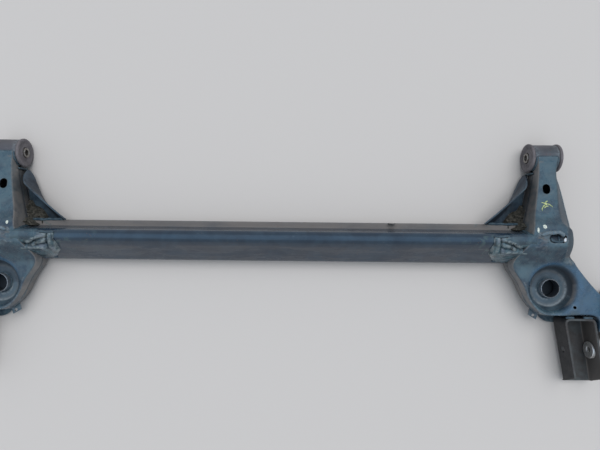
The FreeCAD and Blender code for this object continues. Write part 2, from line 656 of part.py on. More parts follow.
def make_hub_flange():
    body = doc.addObject("PartDesign::Body", "hub_flange")
    inner_face = "dims.hub_x - dims.hub_wall"
    blank = body_sketch(body, "hub_flange_plan", inner_face)
    half_w, half_h = dim("hub_w") / 2, dim("hub_ht") / 2
    signs = [(1, 1), (-1, 1), (-1, -1), (1, -1)]
    corners = [V(dim("hub_y") + a * half_w, dim("hub_z") + b * half_h, 0) for a, b in signs]
    for k in range(4):
        blank.addGeometry(Part.LineSegment(corners[k], corners[(k + 1) % 4]))
    for k, (a, b) in enumerate(signs):
        blank.addConstraint(Sketcher.Constraint("Coincident", k, 2, (k + 1) % 4, 1))
        for kind, value, expression in (
            ("DistanceX", corners[k].x, f"dims.hub_y + ({a}) * dims.hub_w / 2"),
            ("DistanceY", corners[k].y, f"dims.hub_z + ({b}) * dims.hub_ht / 2"),
        ):
            number = blank.addConstraint(Sketcher.Constraint(kind, -1, 1, k, 1, value))
            blank.setExpression(f"Constraints[{number}]", expression)
    pad = body.newObject("PartDesign::Pad", "hub_flange_plate")
    pad.Profile = blank
    bind(pad, Length="dims.hub_wall")
    doc.recompute()

    corner_edges = [
        f"Edge{n}" for n, edge in enumerate(pad.Shape.Edges, 1)
        if abs(edge.tangentAt(edge.FirstParameter).x) > 0.99
    ]
    rounded = body.newObject("PartDesign::Fillet", "hub_flange_corners")
    rounded.Base = (pad, corner_edges)
    bind(rounded, Radius="dims.hub_corner_r")
    doc.recompute()

    holes = body_sketch(body, "hub_flange_holes", inner_face)
    circle_on(holes, (dim("hub_bore") / 2, "dims.hub_bore / 2"), (dim("hub_y"), "dims.hub_y"), (dim("hub_z"), "dims.hub_z"))
    for a, b in signs:
        circle_on(
            holes,
            (dim("hub_hole") / 2, "dims.hub_hole / 2"),
            (dim("hub_y") + a * dim("hub_hole_dy") / 2, f"dims.hub_y + ({a}) * dims.hub_hole_dy / 2"),
            (dim("hub_z") + b * dim("hub_hole_dz") / 2, f"dims.hub_z + ({b}) * dims.hub_hole_dz / 2"),
        )
    drilled = body.newObject("PartDesign::Pocket", "hub_flange_drilling")
    drilled.Profile = holes
    drilled.Type = 1
    drilled.Midplane = True
    doc.recompute()
    return body


# ---------------------------------------------------------------- small tabs
def make_hose_tab():
    """Drilled tab on the lower shell's inboard rear corner, for the brake hose clip."""
    plan = outline("hose_tab_plan", [
        (at("cup_x", -32), at("arm_rear_y", 20)),
        (at("cup_x", -14), at("arm_rear_y", 6)),
        (at("cup_x", -20), at("arm_rear_y", -12)),
        (at("cup_x", -37), at("arm_rear_y", -2)),
    ])
    plate = prism("hose_tab_plate", plan, "dims.split_z - 14", "dims.tab_wall")
    hole = cylinder("hose_tab_hole", "3", "40", "dims.cup_x - 26", "dims.arm_rear_y - 3", "dims.split_z - 20")
    arm_space = prism("hose_tab_arm_space", doc.getObject("arm_plan"), "0", "2 * dims.arm_beam_top_z")
    return combine("Cut", "brake_hose_tab", plate, hole, arm_space)


def make_pipe_tab():
    """Small upstand on the beam's front lip that the brake pipe clips to."""
    tab = doc.addObject("Part::Box", "brake_pipe_tab")
    return bind(tab, Length="dims.tab_w", Width="dims.tab_wall", Height="dims.tab_w",
                Placement__Base__x="dims.pipe_tab_x", Placement__Base__y="dims.beam_front_y - dims.tab_wall",
                Placement__Base__z="dims.beam_low_z + dims.beam_wall")


# ---------------------------------------------------------------- assembly
def mirrored(source, label):
    """The left-hand twin of a right-hand part."""
    twin = doc.addObject("Part::Mirroring", label)
    twin.Source = source
    twin.Normal = V(1, 0, 0)
    twin.Base = V(0, 0, 0)
    return twin


def make_axle():
    """Every node of the axle, as {name: document object}."""
    nodes = {"cross_beam": make_cross_beam(), "torsion_bar": make_torsion_bar(), "brake_pipe_tab": make_pipe_tab()}
    envelope = make_beam_envelope()
    plan, shells = make_arm_shells(envelope)
    right = [*shells, *make_bush(), make_bar_plate(), make_gusset(), make_saddle(plan), *make_spring_seat(),
             *make_damper_bracket(), make_hub_flange(), make_hose_tab()]
    doc.recompute()
    for piece in right:
        nodes[f"{piece.Name}_right"] = piece
        nodes[f"{piece.Name}_left"] = mirrored(piece, f"{piece.Name}_left")
    doc.recompute()
    return nodes


def check(nodes):
    """Stops if any object failed, or if a node's shape is empty or not a valid closed solid."""
    failed = [o.Name for o in doc.Objects if "Invalid" in o.State or "Error" in o.State]
    if failed:
        raise RuntimeError(f"these objects failed: {failed}")
    for name, node in nodes.items():
        shape = node.Shape
        if shape.isNull() or not shape.isValid() or not shape.Solids:
            raise RuntimeError(f"{name} has no valid solid")


def write(nodes):
    os.makedirs("parts", exist_ok=True)
    for name, node in nodes.items():
        node.Label = name
        node.Shape.exportStep(f"parts/{name}.step")


axle = make_axle()
check(axle)
write(axle)
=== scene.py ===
"""Looks of the twist-beam rear axle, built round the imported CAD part.

Shared frame: X across the car (right is +X), Y towards the front, Z up. Lengths in this script are
millimetres, and mesh_object() turns them into metres. The right-hand pieces are modelled, and pair()
makes their left-hand twins, because the axle is symmetric about X = 0.
"""

import math
import random

import bmesh
import bpy
import numpy as np
from mathutils import Matrix, Vector, geometry, noise


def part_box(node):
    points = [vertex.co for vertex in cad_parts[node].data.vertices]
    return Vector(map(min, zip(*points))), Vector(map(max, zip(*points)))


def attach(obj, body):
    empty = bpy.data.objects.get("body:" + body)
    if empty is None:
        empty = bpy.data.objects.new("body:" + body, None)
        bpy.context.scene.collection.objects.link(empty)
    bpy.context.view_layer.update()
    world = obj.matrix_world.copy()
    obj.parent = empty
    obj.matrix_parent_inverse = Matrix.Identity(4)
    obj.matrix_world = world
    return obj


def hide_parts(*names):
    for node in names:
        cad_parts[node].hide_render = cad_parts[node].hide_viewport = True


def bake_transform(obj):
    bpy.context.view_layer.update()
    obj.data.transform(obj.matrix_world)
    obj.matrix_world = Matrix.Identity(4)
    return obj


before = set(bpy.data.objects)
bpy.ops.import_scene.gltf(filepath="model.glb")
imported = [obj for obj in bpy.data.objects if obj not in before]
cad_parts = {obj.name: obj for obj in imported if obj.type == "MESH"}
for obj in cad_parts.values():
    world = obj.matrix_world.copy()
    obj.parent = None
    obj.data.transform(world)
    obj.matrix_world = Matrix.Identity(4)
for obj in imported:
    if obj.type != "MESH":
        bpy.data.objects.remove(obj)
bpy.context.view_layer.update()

MM = 0.001
RIGHT, LEFT = "right", "left"
BODY = {RIGHT: "right_arm", LEFT: "left_arm"}
CORE = {RIGHT: "right_bush_core", LEFT: "left_bush_core"}


# ---------------------------------------------------------------- places, from the frame
class Box:
    """A CAD node's box in millimetres, with its middle."""

    def __init__(self, node):
        low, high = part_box(node)
        self.low, self.high = low / MM, high / MM
        self.mid = (self.low + self.high) / 2
        self.size = self.high - self.low


EYE = Box("bush_eye_right")
RUBBER = Box("bush_rubber_right")
SLEEVE = Box("bush_inner_sleeve_right")
BEAM = Box("cross_beam")
BAR = Box("torsion_bar")
UPPER = Box("arm_upper_shell_right")
LOWER = Box("arm_lower_shell_right")
CUP = Box("spring_cup_right")
SPIGOT = Box("spring_spigot_right")
GUSSET = Box("arm_gusset_right")
SADDLE = Box("beam_saddle_right")
BRACKET = Box("damper_bracket_right")
HUB = Box("hub_flange_right")

BX, BY, BZ = EYE.mid
CX, CY = CUP.mid.x, CUP.mid.y
EYE_R = EYE.size.y / 2
EYE_WALL = 3.5
FRONT, REAR = BEAM.high.y, BEAM.low.y  # the beam's front and rear edges
SPLIT = UPPER.low.z  # where the arm's two pressings meet
FLOOR_Z = LOWER.low.z
ARM_REAR = CY - 55.0
LEDGE_REAR = CY - 75.0
UPPER_REAR_TOP = CUP.high.z
HORN_REAR = UPPER.low.y
HORN_FRONT = HORN_REAR + 52.0
FLANGE_FACE = HUB.low.x
SHEET = 3.0  # the pressings' thickness
FOLD_STEPS = 5
HOLE = (BX - 7.0, BY - 66.0, 15.0, 20.0)  # the arm's oval hole: middle, size along X and Y
WINDOW = (BX + 6.0, FRONT - 27.0, 34.0, 18.0)  # the weld window over the beam's end: middle, length, width
DRAIN = (CX + 42.0, CY - 36.0, 3.0)
BOLT_R = 6.25  # the pivot and damper bolts' clearance holes
OUTBOARD_FALL = 0.7  # how steeply the arm's top falls outboard over the beam
BEAM_SLOPE = 1.254  # the beam's rear flank rises this much for each millimetre forwards


# ---------------------------------------------------------------- mesh helpers
def linked(name, data):
    """A new object in the scene from its data."""
    piece = bpy.data.objects.new(name, data)
    bpy.context.scene.collection.objects.link(piece)
    return piece


def mesh_object(name, points, faces):
    """A new object from points in millimetres."""
    mesh = bpy.data.meshes.new(name)
    mesh.from_pydata([tuple(float(c) * MM for c in p) for p in points], [], faces)
    mesh.validate()
    mesh.update()
    return linked(name, mesh)


def from_bmesh(name, mesh):
    """A new object from a bmesh, which is then freed."""
    data = bpy.data.meshes.new(name)
    mesh.to_mesh(data)
    mesh.free()
    return linked(name, data)


def edited(piece, work):
    """The piece after work() has changed its mesh."""
    mesh = bmesh.new()
    mesh.from_mesh(piece.data)
    work(mesh)
    mesh.to_mesh(piece.data)
    mesh.free()
    return piece


def faces_outwards(mesh):
    bmesh.ops.recalc_face_normals(mesh, faces=mesh.faces)


def clamp(value):
    return min(1.0, max(0.0, value))


def bend(start, corner, end, t):
    """A point on the curve that rounds a corner between start and end."""
    return start * (1 - t) ** 2 + corner * (2 * t * (1 - t)) + end * t**2


def modified(piece, kind, **settings):
    """The piece with one modifier applied to its mesh."""
    modifier = piece.modifiers.new(kind.lower(), kind)
    for key, value in settings.items():
        setattr(modifier, key, value)
    graph = bpy.context.evaluated_depsgraph_get()
    mesh = bpy.data.meshes.new_from_object(piece.evaluated_get(graph), depsgraph=graph)
    piece.modifiers.clear()
    old, piece.data = piece.data, mesh
    bpy.data.meshes.remove(old)
    return piece


def thickened(piece, thickness, offset=-1.0, even=True):
    return modified(piece, "SOLIDIFY", thickness=thickness * MM, offset=offset, use_even_offset=even)


def edges_rounded(piece, width, angle=30.0, segments=2):
    return modified(
        piece, "BEVEL", width=width * MM, segments=segments, limit_method="ANGLE",
        angle_limit=math.radians(angle), use_clamp_overlap=True,
    )


def shaded(piece, angle=32.0):
    """Smooth shading that breaks at edges sharper than angle."""
    mesh = piece.data
    mesh.polygons.foreach_set("use_smooth", [True] * len(mesh.polygons))
    mesh.set_sharp_from_angle(angle=math.radians(angle))
    return piece


def joined(name, pieces):
    """One object made of several, which are then removed."""
    mesh = bmesh.new()
    for piece in pieces:
        mesh.from_mesh(piece.data)
    for piece in pieces:
        bpy.data.objects.remove(piece)
    return from_bmesh(name, mesh)


def set_mask(piece, name, values):
    attribute = piece.data.attributes.new(name, "FLOAT", "POINT")
    attribute.data.foreach_set("value", np.asarray(values, np.float32))


FULL_EDGE_TURN = math.radians(38.0)  # an edge that turns this much counts fully


def set_edge_masks(piece):
    """Vertex masks that the materials use: wear with a painted sheen on outer edges, grime with painted shade in
    inner corners.

    The beam's halves meet at X = 0, which isn't an edge."""
    mesh = bmesh.new()
    mesh.from_mesh(piece.data)
    wear_and_sheen = np.zeros(len(mesh.verts))
    grime_and_shade = np.zeros(len(mesh.verts))
    mesh.verts.ensure_lookup_table()
    for edge in mesh.edges:
        if len(edge.link_faces) != 2:
            continue
        turn = edge.calc_face_angle_signed(0.0)
        value = min(1.0, abs(turn) / FULL_EDGE_TURN)
        mask = wear_and_sheen if turn > 0 else grime_and_shade
        for vertex in edge.verts:
            if abs(vertex.co.x) > 1.0 * MM:
                mask[vertex.index] = max(mask[vertex.index], value)
    mesh.free()
    set_mask(piece, "wear_and_sheen", wear_and_sheen)
    set_mask(piece, "grime_and_shade", grime_and_shade)


def dressed(piece, material):
    piece.data.materials.clear()
    piece.data.materials.append(material)
    return piece


def pair(piece, body, material, slot, *nodes, angle=32.0):
    """The right-hand piece and its mirrored twin, each riding on its side's body in place of its nodes."""
    set_edge_masks(piece)
    shaded(piece, angle)
    name = piece.name
    piece.name = f"{name}_{RIGHT}"
    twin_mesh = piece.data.copy()
    twin_mesh.transform(Matrix.Scale(-1.0, 4, (1.0, 0.0, 0.0)))
    twin_mesh.flip_normals()
    twin = linked(f"{name}_{LEFT}", twin_mesh)
    for side, member in ((RIGHT, piece), (LEFT, twin)):
        dressed(member, material)
        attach(member, body[side])
        if nodes:
            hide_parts(*[f"{node}_{side}" for node in nodes])
    return piece, twin


def cad_copy(node, name, merge=0.004, flat=1.5):
    """A copy of a CAD node's mesh, with its flat faces whole again."""
    mesh = bmesh.new()
    mesh.from_mesh(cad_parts[node].data)
    bmesh.ops.remove_doubles(mesh, verts=mesh.verts, dist=merge * MM)
    bmesh.ops.dissolve_limit(
        mesh, angle_limit=math.radians(flat), use_dissolve_boundaries=False, verts=mesh.verts, edges=mesh.edges
    )
    return from_bmesh(name, mesh)


def smooth_run(rows, step, whole=False):
    """Points along a centripetal Catmull-Rom curve through rows, spaced in the first two columns.

    The last row is left out unless whole is set, so that runs can be joined end to end."""
    rows = np.array(rows, float)
    if whole:
        return np.vstack([smooth_run(rows, step), rows[-1]])
    if len(rows) == 2:
        count = max(1, round(float(np.linalg.norm((rows[1] - rows[0])[:2])) / step))
        return rows[0] + np.outer(np.arange(count) / count, rows[1] - rows[0])
    padded = np.vstack([2 * rows[0] - rows[1], rows, 2 * rows[-1] - rows[-2]])
    knots = [0.0]
    for a, b in zip(padded, padded[1:]):
        knots.append(knots[-1] + max(1e-6, float(np.linalg.norm((b - a)[:2]))) ** 0.5)
    points = []
    for k in range(1, len(padded) - 2):
        p0, p1, p2, p3 = padded[k - 1 : k + 3]
        t0, t1, t2, t3 = knots[k - 1 : k + 3]
        count = max(1, round(float(np.linalg.norm((p2 - p1)[:2])) / step))
        for t in t1 + (t2 - t1) * np.arange(count) / count:
            a1 = (t1 - t) / (t1 - t0) * p0 + (t - t0) / (t1 - t0) * p1
            a2 = (t2 - t) / (t2 - t1) * p1 + (t - t1) / (t2 - t1) * p2
            a3 = (t3 - t) / (t3 - t2) * p2 + (t - t2) / (t3 - t2) * p3
            b1 = (t2 - t) / (t2 - t0) * a1 + (t - t0) / (t2 - t0) * a2
            b2 = (t3 - t) / (t3 - t1) * a2 + (t - t1) / (t3 - t1) * a3
            points.append((t2 - t) / (t2 - t1) * b1 + (t - t1) / (t2 - t1) * b2)
    return np.array(points)


def strip_faces(first, second, count, closed, flip=False):
    """Quads between two rings of count points that start at the given indices."""
    faces = []
    for k in range(count if closed else count - 1):
        after = (k + 1) % count
        quad = (first + k, first + after, second + after, second + k)
        faces.append(quad[::-1] if flip else quad)
    return faces


def ring_surface(rings, closed=True, flip=False):
    """Points and faces of a surface through rings of equal length."""
    count = len(rings[0])
    points = [tuple(p) for ring in rings for p in ring]
    faces = []
    for k in range(len(rings) - 1):
        faces += strip_faces(k * count, (k + 1) * count, count, closed, flip)
    return points, faces


def lathe(name, profile, centre, segments=64, along_x=False, closed_profile=False):
    """A turned shape: profile holds (radius, height), and the axis runs up or along X through centre."""
    rings = []
    for radius, height in profile:
        ring = []
        for k in range(segments):
            a = 2 * math.pi * k / segments
            u, v = radius * math.cos(a), radius * math.sin(a)
            if along_x:
                ring.append((centre[0] + height, centre[1] + u, centre[2] + v))
            else:
                ring.append((centre[0] + u, centre[1] + v, centre[2] + height))
        rings.append(ring)
    if closed_profile:
        rings.append(rings[0])
    points, faces = ring_surface(rings)

    def close(mesh):
        bmesh.ops.remove_doubles(mesh, verts=mesh.verts, dist=1e-7)
        faces_outwards(mesh)

    return edited(mesh_object(name, points, faces), close)


def inside(polygon, points):
    """Which points lie inside a polygon."""
    x, y = points[:, 0], points[:, 1]
    result = np.zeros(len(points), bool)
    for (ax, ay), (bx, by) in zip(polygon, np.roll(polygon, -1, axis=0)):
        if ay == by:
            continue
        crosses = ((ay > y) != (by > y)) & (x < (bx - ax) * (y - ay) / (by - ay) + ax)
        result ^= crosses
    return result


def distance_to(loop, points):
    """Each point's distance to the nearest point of a loop."""
    gaps = points[:, None, :] - loop[None, :, :]
    return np.sqrt((gaps**2).sum(2).min(1))


def filled(loop, holes, spacing, extra=()):
    """Triangles between a loop and its holes, with evenly spaced points inside: (points, triangles)."""
    loops = [np.asarray(loop)[:, :2]] + [np.asarray(h)[:, :2] for h in holes]
    low, high = loops[0].min(0), loops[0].max(0)
    grid = []
    row_step = spacing * math.sqrt(3) / 2
    for row, y in enumerate(np.arange(low[1], high[1], row_step)):
        shift = spacing / 2 if row % 2 else 0.0
        grid += [(x, y) for x in np.arange(low[0] + shift, high[0], spacing)]
    grid = np.array(grid)
    fixed = np.vstack(loops + [np.asarray(e)[:, :2] for e in extra])
    keep = inside(loops[0], grid) & (distance_to(fixed, grid) > 0.62 * spacing)
    for hole in loops[1:]:
        keep &= ~inside(hole, grid)
    points = np.vstack([fixed, grid[keep]])
    edges, start = [], 0
    for ring in loops:
        edges += [(start + k, start + (k + 1) % len(ring)) for k in range(len(ring))]
        start += len(ring)
    found = geometry.delaunay_2d_cdt([Vector(p) for p in points], edges, [], 0, 1e-6)
    where = np.array([tuple(v) for v in found[0]])
    triangles = np.array(found[2])
    middles = where[triangles].mean(1)
    keep = inside(loops[0], middles)
    for hole in loops[1:]:
        keep &= ~inside(hole, middles)
    return where, [tuple(t) for t in triangles[keep]]


def capped(points, faces, edge, height, spacing, holes=(), extra=(), flip=False):
    """Adds the surface that closes a ring: height(x, y) inside it, and the ring's own height along it."""
    edge = np.array([tuple(p) for p in edge])
    fill, triangles = filled(edge, holes, spacing, extra)
    base = len(points)
    points += [(x, y, height(x, y)) for x, y in fill]
    for x, y, z in edge:
        near = int(np.argmin((fill[:, 0] - x) ** 2 + (fill[:, 1] - y) ** 2))
        points[base + near] = (x, y, z)
    faces += [tuple(base + k for k in (reversed(t) if flip else t)) for t in triangles]


def welded(name, points, faces, distance=0.02):
    """A new object whose coincident points are merged, with every face turned outwards."""

    def weld(mesh):
        bmesh.ops.remove_doubles(mesh, verts=mesh.verts, dist=distance * MM)
        bmesh.ops.dissolve_degenerate(mesh, edges=mesh.edges, dist=distance * MM)
        faces_outwards(mesh)
        middle = sum((v.co for v in mesh.verts), Vector()) / len(mesh.verts)
        outwards = sum(f.calc_area() * f.normal.dot(f.calc_center_median() - middle) for f in mesh.faces)
        if outwards < 0:
            bmesh.ops.reverse_faces(mesh, faces=mesh.faces)

    return edited(mesh_object(name, points, faces), weld)


def circle(x, y, radius, count):
    a = 2 * np.pi * np.arange(count) / count
    return np.stack([x + radius * np.cos(a), y + radius * np.sin(a)], 1)


def oval(x, y, across_x, across_y, count):
    """A slot with round ends, along X or Y."""
    a = 2 * np.pi * np.arange(count) / count
    radius = min(across_x, across_y) / 2
    right = np.where(np.cos(a) >= 0, 1.0, -1.0) * (across_x / 2 - radius)
    ahead = np.where(np.sin(a) >= 0, 1.0, -1.0) * (across_y / 2 - radius)
    return np.stack([x + radius * np.cos(a) + right, y + radius * np.sin(a) + ahead], 1)


def inset(loop, amounts):
    """A closed loop moved inwards by amounts, straightened where it would cross itself."""
    loop = np.asarray(loop)
    ahead = np.roll(loop, -1, axis=0) - np.roll(loop, 1, axis=0)
    ahead /= np.linalg.norm(ahead, axis=1)[:, None]
    moved = loop + np.stack([-ahead[:, 1], ahead[:, 0]], 1) * amounts[:, None]
    side = np.roll(loop, -1, axis=0) - loop
    offset = moved[:, None, :] - loop[None, :, :]
    share = np.clip((offset * side).sum(2) / ((side**2).sum(1) + 1e-12), 0.0, 1.0)
    gap = np.linalg.norm(offset - share[..., None] * side, axis=2).min(1)
    good = np.flatnonzero(gap > 0.96 * amounts)
    every = np.arange(len(loop))
    return np.stack([np.interp(every, good, moved[good, axis], period=len(loop)) for axis in (0, 1)], 1)


def rough(point, size, height):
    """A small smooth random number for a place: features about size wide and height tall."""
    return height * noise.noise(Vector(point) / size)


def sheet(name, rings, thickness, even=True):
    """A plate of a given thickness under an open surface through rings."""
    return thickened(mesh_object(name, *ring_surface(rings, closed=False, flip=True)), thickness, even=even)


def slab(name, outline, low, high, rounding, upright=False):
    """A plate with rounded edges, from an outline in X and Y, or in X and Z when upright."""
    count = len(outline)
    points = [(u, w, v) if upright else (u, v, w) for w in (low, high) for u, v in outline]
    faces = strip_faces(0, count, count, True)
    faces += [tuple(range(count - 1, -1, -1)), tuple(range(count, 2 * count))]
    return edges_rounded(mesh_object(name, points, faces), rounding, 40.0)


def folded(start, above, corner, end, count, out, push):
    """Points down a pressed wall from start, which stands out by push(point) halfway, and round its fold."""
    wall = [start.lerp(above, k / count) for k in range(count)]
    wall = [at + out * (push(at) * math.sin(math.pi * k / count)) for k, at in enumerate(wall)]
    return wall + [bend(above, corner, end, k / FOLD_STEPS) for k in range(FOLD_STEPS + 1)]


# ---------------------------------------------------------------- weld beads
def spaced(path, step):
    """Points along a polyline, step apart."""
    path = np.array(path, float)
    lengths = np.concatenate([[0.0], np.cumsum(np.linalg.norm(np.diff(path, axis=0), axis=1))])
    count = max(4, int(lengths[-1] / step) + 1)
    at = np.linspace(0.0, lengths[-1], count)
    return np.stack([np.interp(at, lengths, path[:, k]) for k in range(3)], 1), at


def bead(path, radius, seed=0.0, pitch=3.4, sides=9, step=0.85):
    """A weld bead along a path: rounded ripples, an uneven width and rounded ends."""
    centres, at = spaced(path, step)
    tangents = np.gradient(centres, axis=0)
    tangents /= np.linalg.norm(tangents, axis=1)[:, None] + 1e-9
    up = Vector((0.0, 0.0, 1.0))
    rings = []
    for centre, tangent, s in zip(centres, tangents, at):
        t = Vector(tangent)
        side = t.cross(up if abs(t.z) < 0.9 else Vector((0.0, 1.0, 0.0))).normalized()
        rise = side.cross(t)
        ends = min(1.0, math.sqrt(max(0.02, min(s, at[-1] - s) / (1.4 * radius))))
        ripple = 0.86 + 0.2 * abs(math.sin(math.pi * (s + 0.5 * noise.noise(Vector((s / 5, seed, 0)))) / pitch))
        width = radius * ends * ripple * (1 + 0.28 * noise.noise(Vector((s / 9, seed, 3.1))))
        drift = side * (0.5 * radius * noise.noise(Vector((s / 14, seed, 7.7))))
        middle = Vector(centre) + drift
        turns = [2 * math.pi * k / sides for k in range(sides)]
        rings.append([
            tuple(middle + side * (width * 1.15 * math.cos(a)) + rise * (width * math.sin(a))) for a in turns
        ])
    points, faces = ring_surface(rings, flip=True)
    faces.append(tuple(range(sides)))
    faces.append(tuple(range(len(points) - 1, len(points) - 1 - sides, -1)))
    return points, faces


def beads(name, runs):
    """Several weld beads as one object. Each run is (path, radius)."""
    points, faces = [], []
    for number, (path, radius) in enumerate(runs):
        more, quads = bead(path, radius, seed=2.7 * number + len(name))
        base = len(points)
        points += more
        faces += [tuple(base + k for k in quad) for quad in quads]
    return mesh_object(name, points, faces)


# ---------------------------------------------------------------- node helpers for materials
class Paints:
    """Builds one material's node tree. Every method returns an output socket."""

    def __init__(self, name):
        self.material = bpy.data.materials.new(name)
        self.material.use_nodes = True
        self.tree = self.material.node_tree
        self.tree.nodes.clear()
        self.shader = self.tree.nodes.new("ShaderNodeBsdfPrincipled")
        output = self.tree.nodes.new("ShaderNodeOutputMaterial")
        self.tree.links.new(self.shader.outputs[0], output.inputs[0])
        self.coordinates = self.tree.nodes.new("ShaderNodeTexCoord").outputs["Object"]

    def put(self, socket, value):
        if isinstance(value, bpy.types.NodeSocket):
            self.tree.links.new(value, socket)
        else:
            socket.default_value = value

    def node(self, kind, inputs=(), **settings):
        """A new node with its settings and inputs, each a value or another node's output."""
        node = self.tree.nodes.new(f"ShaderNode{kind}")
        for key, value in settings.items():
            setattr(node, key, value)
        for key, value in dict(inputs).items():
            self.put(node.inputs[key], value)
        return node

    def place(self, stretch, turn):
        """The object's own coordinates, stretched and turned about Z."""
        return self.node("Mapping", {
            "Vector": self.coordinates, "Scale": stretch, "Rotation": (0.0, 0.0, turn),
        }).outputs[0]

    def noise(self, size, detail=4.0, rough=0.55, stretch=None, turn=0.0, warp=0.0):
        """Noise whose features are about size millimetres wide."""
        return self.node("TexNoise", {
            "Vector": self.place(stretch, turn) if stretch else self.coordinates, "Scale": 1.0 / (size * MM),
            "Detail": detail, "Roughness": rough, "Distortion": warp,
        }).outputs[0]

    def cells(self, size):
        """Distance to the middle of the nearest of many cells."""
        return self.node("TexVoronoi", {
            "Vector": self.coordinates, "Scale": 1.0 / (size * MM),
        }).outputs["Distance"]

    def step(self, value, low, high, to_low=0.0, to_high=1.0):
        """Maps low..high of a value to to_low..to_high, smoothly and clamped."""
        return self.node("MapRange", {
            "Value": value, "From Min": low, "From Max": high, "To Min": to_low, "To Max": to_high,
        }, interpolation_type="SMOOTHSTEP").outputs[0]

    def maths(self, operation, a, b=0.0):
        return self.node("Math", {0: a, 1: b}, operation=operation).outputs[0]

    def times(self, a, b):
        return self.maths("MULTIPLY", a, b)

    def most(self, a, b):
        return self.maths("MAXIMUM", a, b)

    def mask(self, name):
        return self.node("Attribute", attribute_name=name).outputs["Fac"]

    def facing(self, axis):
        """How far the surface faces along an axis."""
        normal = self.node("NewGeometry").outputs["Normal"]
        return self.node("SeparateXYZ", {0: normal}).outputs[axis]

    def along(self, axis):
        return self.node("SeparateXYZ", {0: self.coordinates}).outputs[axis]

    def blend(self, share, first, second):
        """A colour between two colours."""
        first, second = ((*c, 1.0) if isinstance(c, tuple) else c for c in (first, second))
        return self.node("Mix", {"Factor": share, 6: first, 7: second}, data_type="RGBA").outputs[2]

    def bump(self, height, depth, strength=1.0, over=None):
        """A normal raised by depth millimetres where height is 1."""
        inputs = {"Strength": strength, "Distance": depth * MM, "Height": height}
        if over is not None:
            inputs["Normal"] = over
        return self.node("Bump", inputs).outputs[0]

    def finish(self, colour, roughness, normal=None, **uniform):
        """The material, with its uniform values set on the shader itself."""
        self.put(self.shader.inputs["Base Color"], colour)
        self.put(self.shader.inputs["Roughness"], roughness)
        if normal is not None:
            self.put(self.shader.inputs["Normal"], normal)
        for key, value in uniform.items():
            self.shader.inputs[key.replace("_", " ")].default_value = value
        return self.material


DUST = (0.16, 0.15, 0.145)
# painted reflection: the clear blue of the sky mirrored in glossy paint
SKY_REFLECTION_BLUE = (0.042, 0.108, 0.19)
# dust on walls that face the car's middle, made pale to paint in light on these walls as well
SIDE_DUST_AND_LIGHT = (0.215, 0.205, 0.2)
HAZE = (0.1, 0.155, 0.18)
# painted shade: near-black colour for interiors, recesses, undersides and shaded walls
PAINTED_SHADE = (0.026, 0.033, 0.044)
RUST = (0.115, 0.05, 0.024)
# scuffs, and the painted sheen on outer edges
SCUFF_AND_SHEEN = (0.2, 0.24, 0.27)


def haze_share(p, dust):
    """Pale haze on what faces up."""
    up = p.step(p.facing("Z"), 0.72, 0.98)
    haze = p.times(up, p.step(p.noise(30, 6, 0.62, warp=0.4), 0.36, 0.72, 0.05, 1.0))
    return p.times(haze, dust)


def side_dust_and_light_share(p, side_dust_and_light):
    """Dust and painted light on what faces the car's middle, but not where the sky reflection is painted."""
    side = p.step(p.times(p.facing("X"), p.step(p.along("X"), -0.01, 0.01, -1.0, 1.0)), -0.45, -0.9)
    side = p.times(side, p.step(p.noise(26, 6, 0.66, warp=0.5), 0.3, 0.62, 0.35, 1.0))
    return p.times(p.times(side, side_dust_and_light), p.step(p.mask("painted_reflection"), 0.0, 0.7, 1.0, 0.0))


def brown_share(p, dust):
    """Brown dust: thin everywhere, thick in corners, and where the mask of dust and painted light says so."""
    brown = p.times(p.step(p.noise(7, 5, 0.7), 0.35, 0.75), 0.3 * dust)
    patches = p.step(p.noise(6, 4, 0.6), 0.3, 0.6, 0.2, min(0.9, 1.6 * dust))
    corners = p.times(p.step(p.mask("grime_and_shade"), 0.15, 0.9), patches)
    return p.most(brown, p.most(corners, p.mask("dust_and_light")))


def beam_shares(p, haze, brown):
    """The beam's dirt: little near its ridge, streaks along its flanks, and a brown front lip."""
    ridge = p.step(p.along("Z"), 66 * MM, 75 * MM, 1.0, 0.16)
    haze, brown = p.times(haze, ridge), p.times(brown, ridge)
    streaks = p.times(p.step(p.noise(34, 6, 0.66, stretch=(0.22, 1, 1), warp=0.3), 0.32, 0.66, 0.12, 0.85), ridge)
    brown = p.most(brown, p.times(streaks, 0.42))
    ahead = p.step(p.along("Y"), (FRONT - 16) * MM, (FRONT - 10) * MM)
    lip = p.times(ahead, p.step(p.noise(40, 5, 0.6, stretch=(0.35, 1, 1)), 0.25, 0.6, 0.6, 0.97))
    return haze, p.most(brown, lip)


def beam_colour(p, colour):
    """A painted blue sky reflection along the top of the beam's ridge, and the greenish bloom near its ends."""
    # crest: painted reflection of the sky on the ridge's top
    crest = p.times(p.step(p.along("Z"), 82 * MM, 87 * MM),
                    p.step(p.noise(60, 4, 0.6, stretch=(0.3, 1, 1)), 0.3, 0.6, 0.25, 0.85))
    near_end = p.step(p.maths("ABSOLUTE", p.along("X")), 0.3, 0.44)
    bloom = p.times(near_end, p.step(p.noise(15, 5, 0.6, warp=0.5), 0.54, 0.68, 0.0, 0.6))
    return p.blend(bloom, p.blend(crest, colour, (0.05, 0.115, 0.19)), (0.065, 0.11, 0.115))


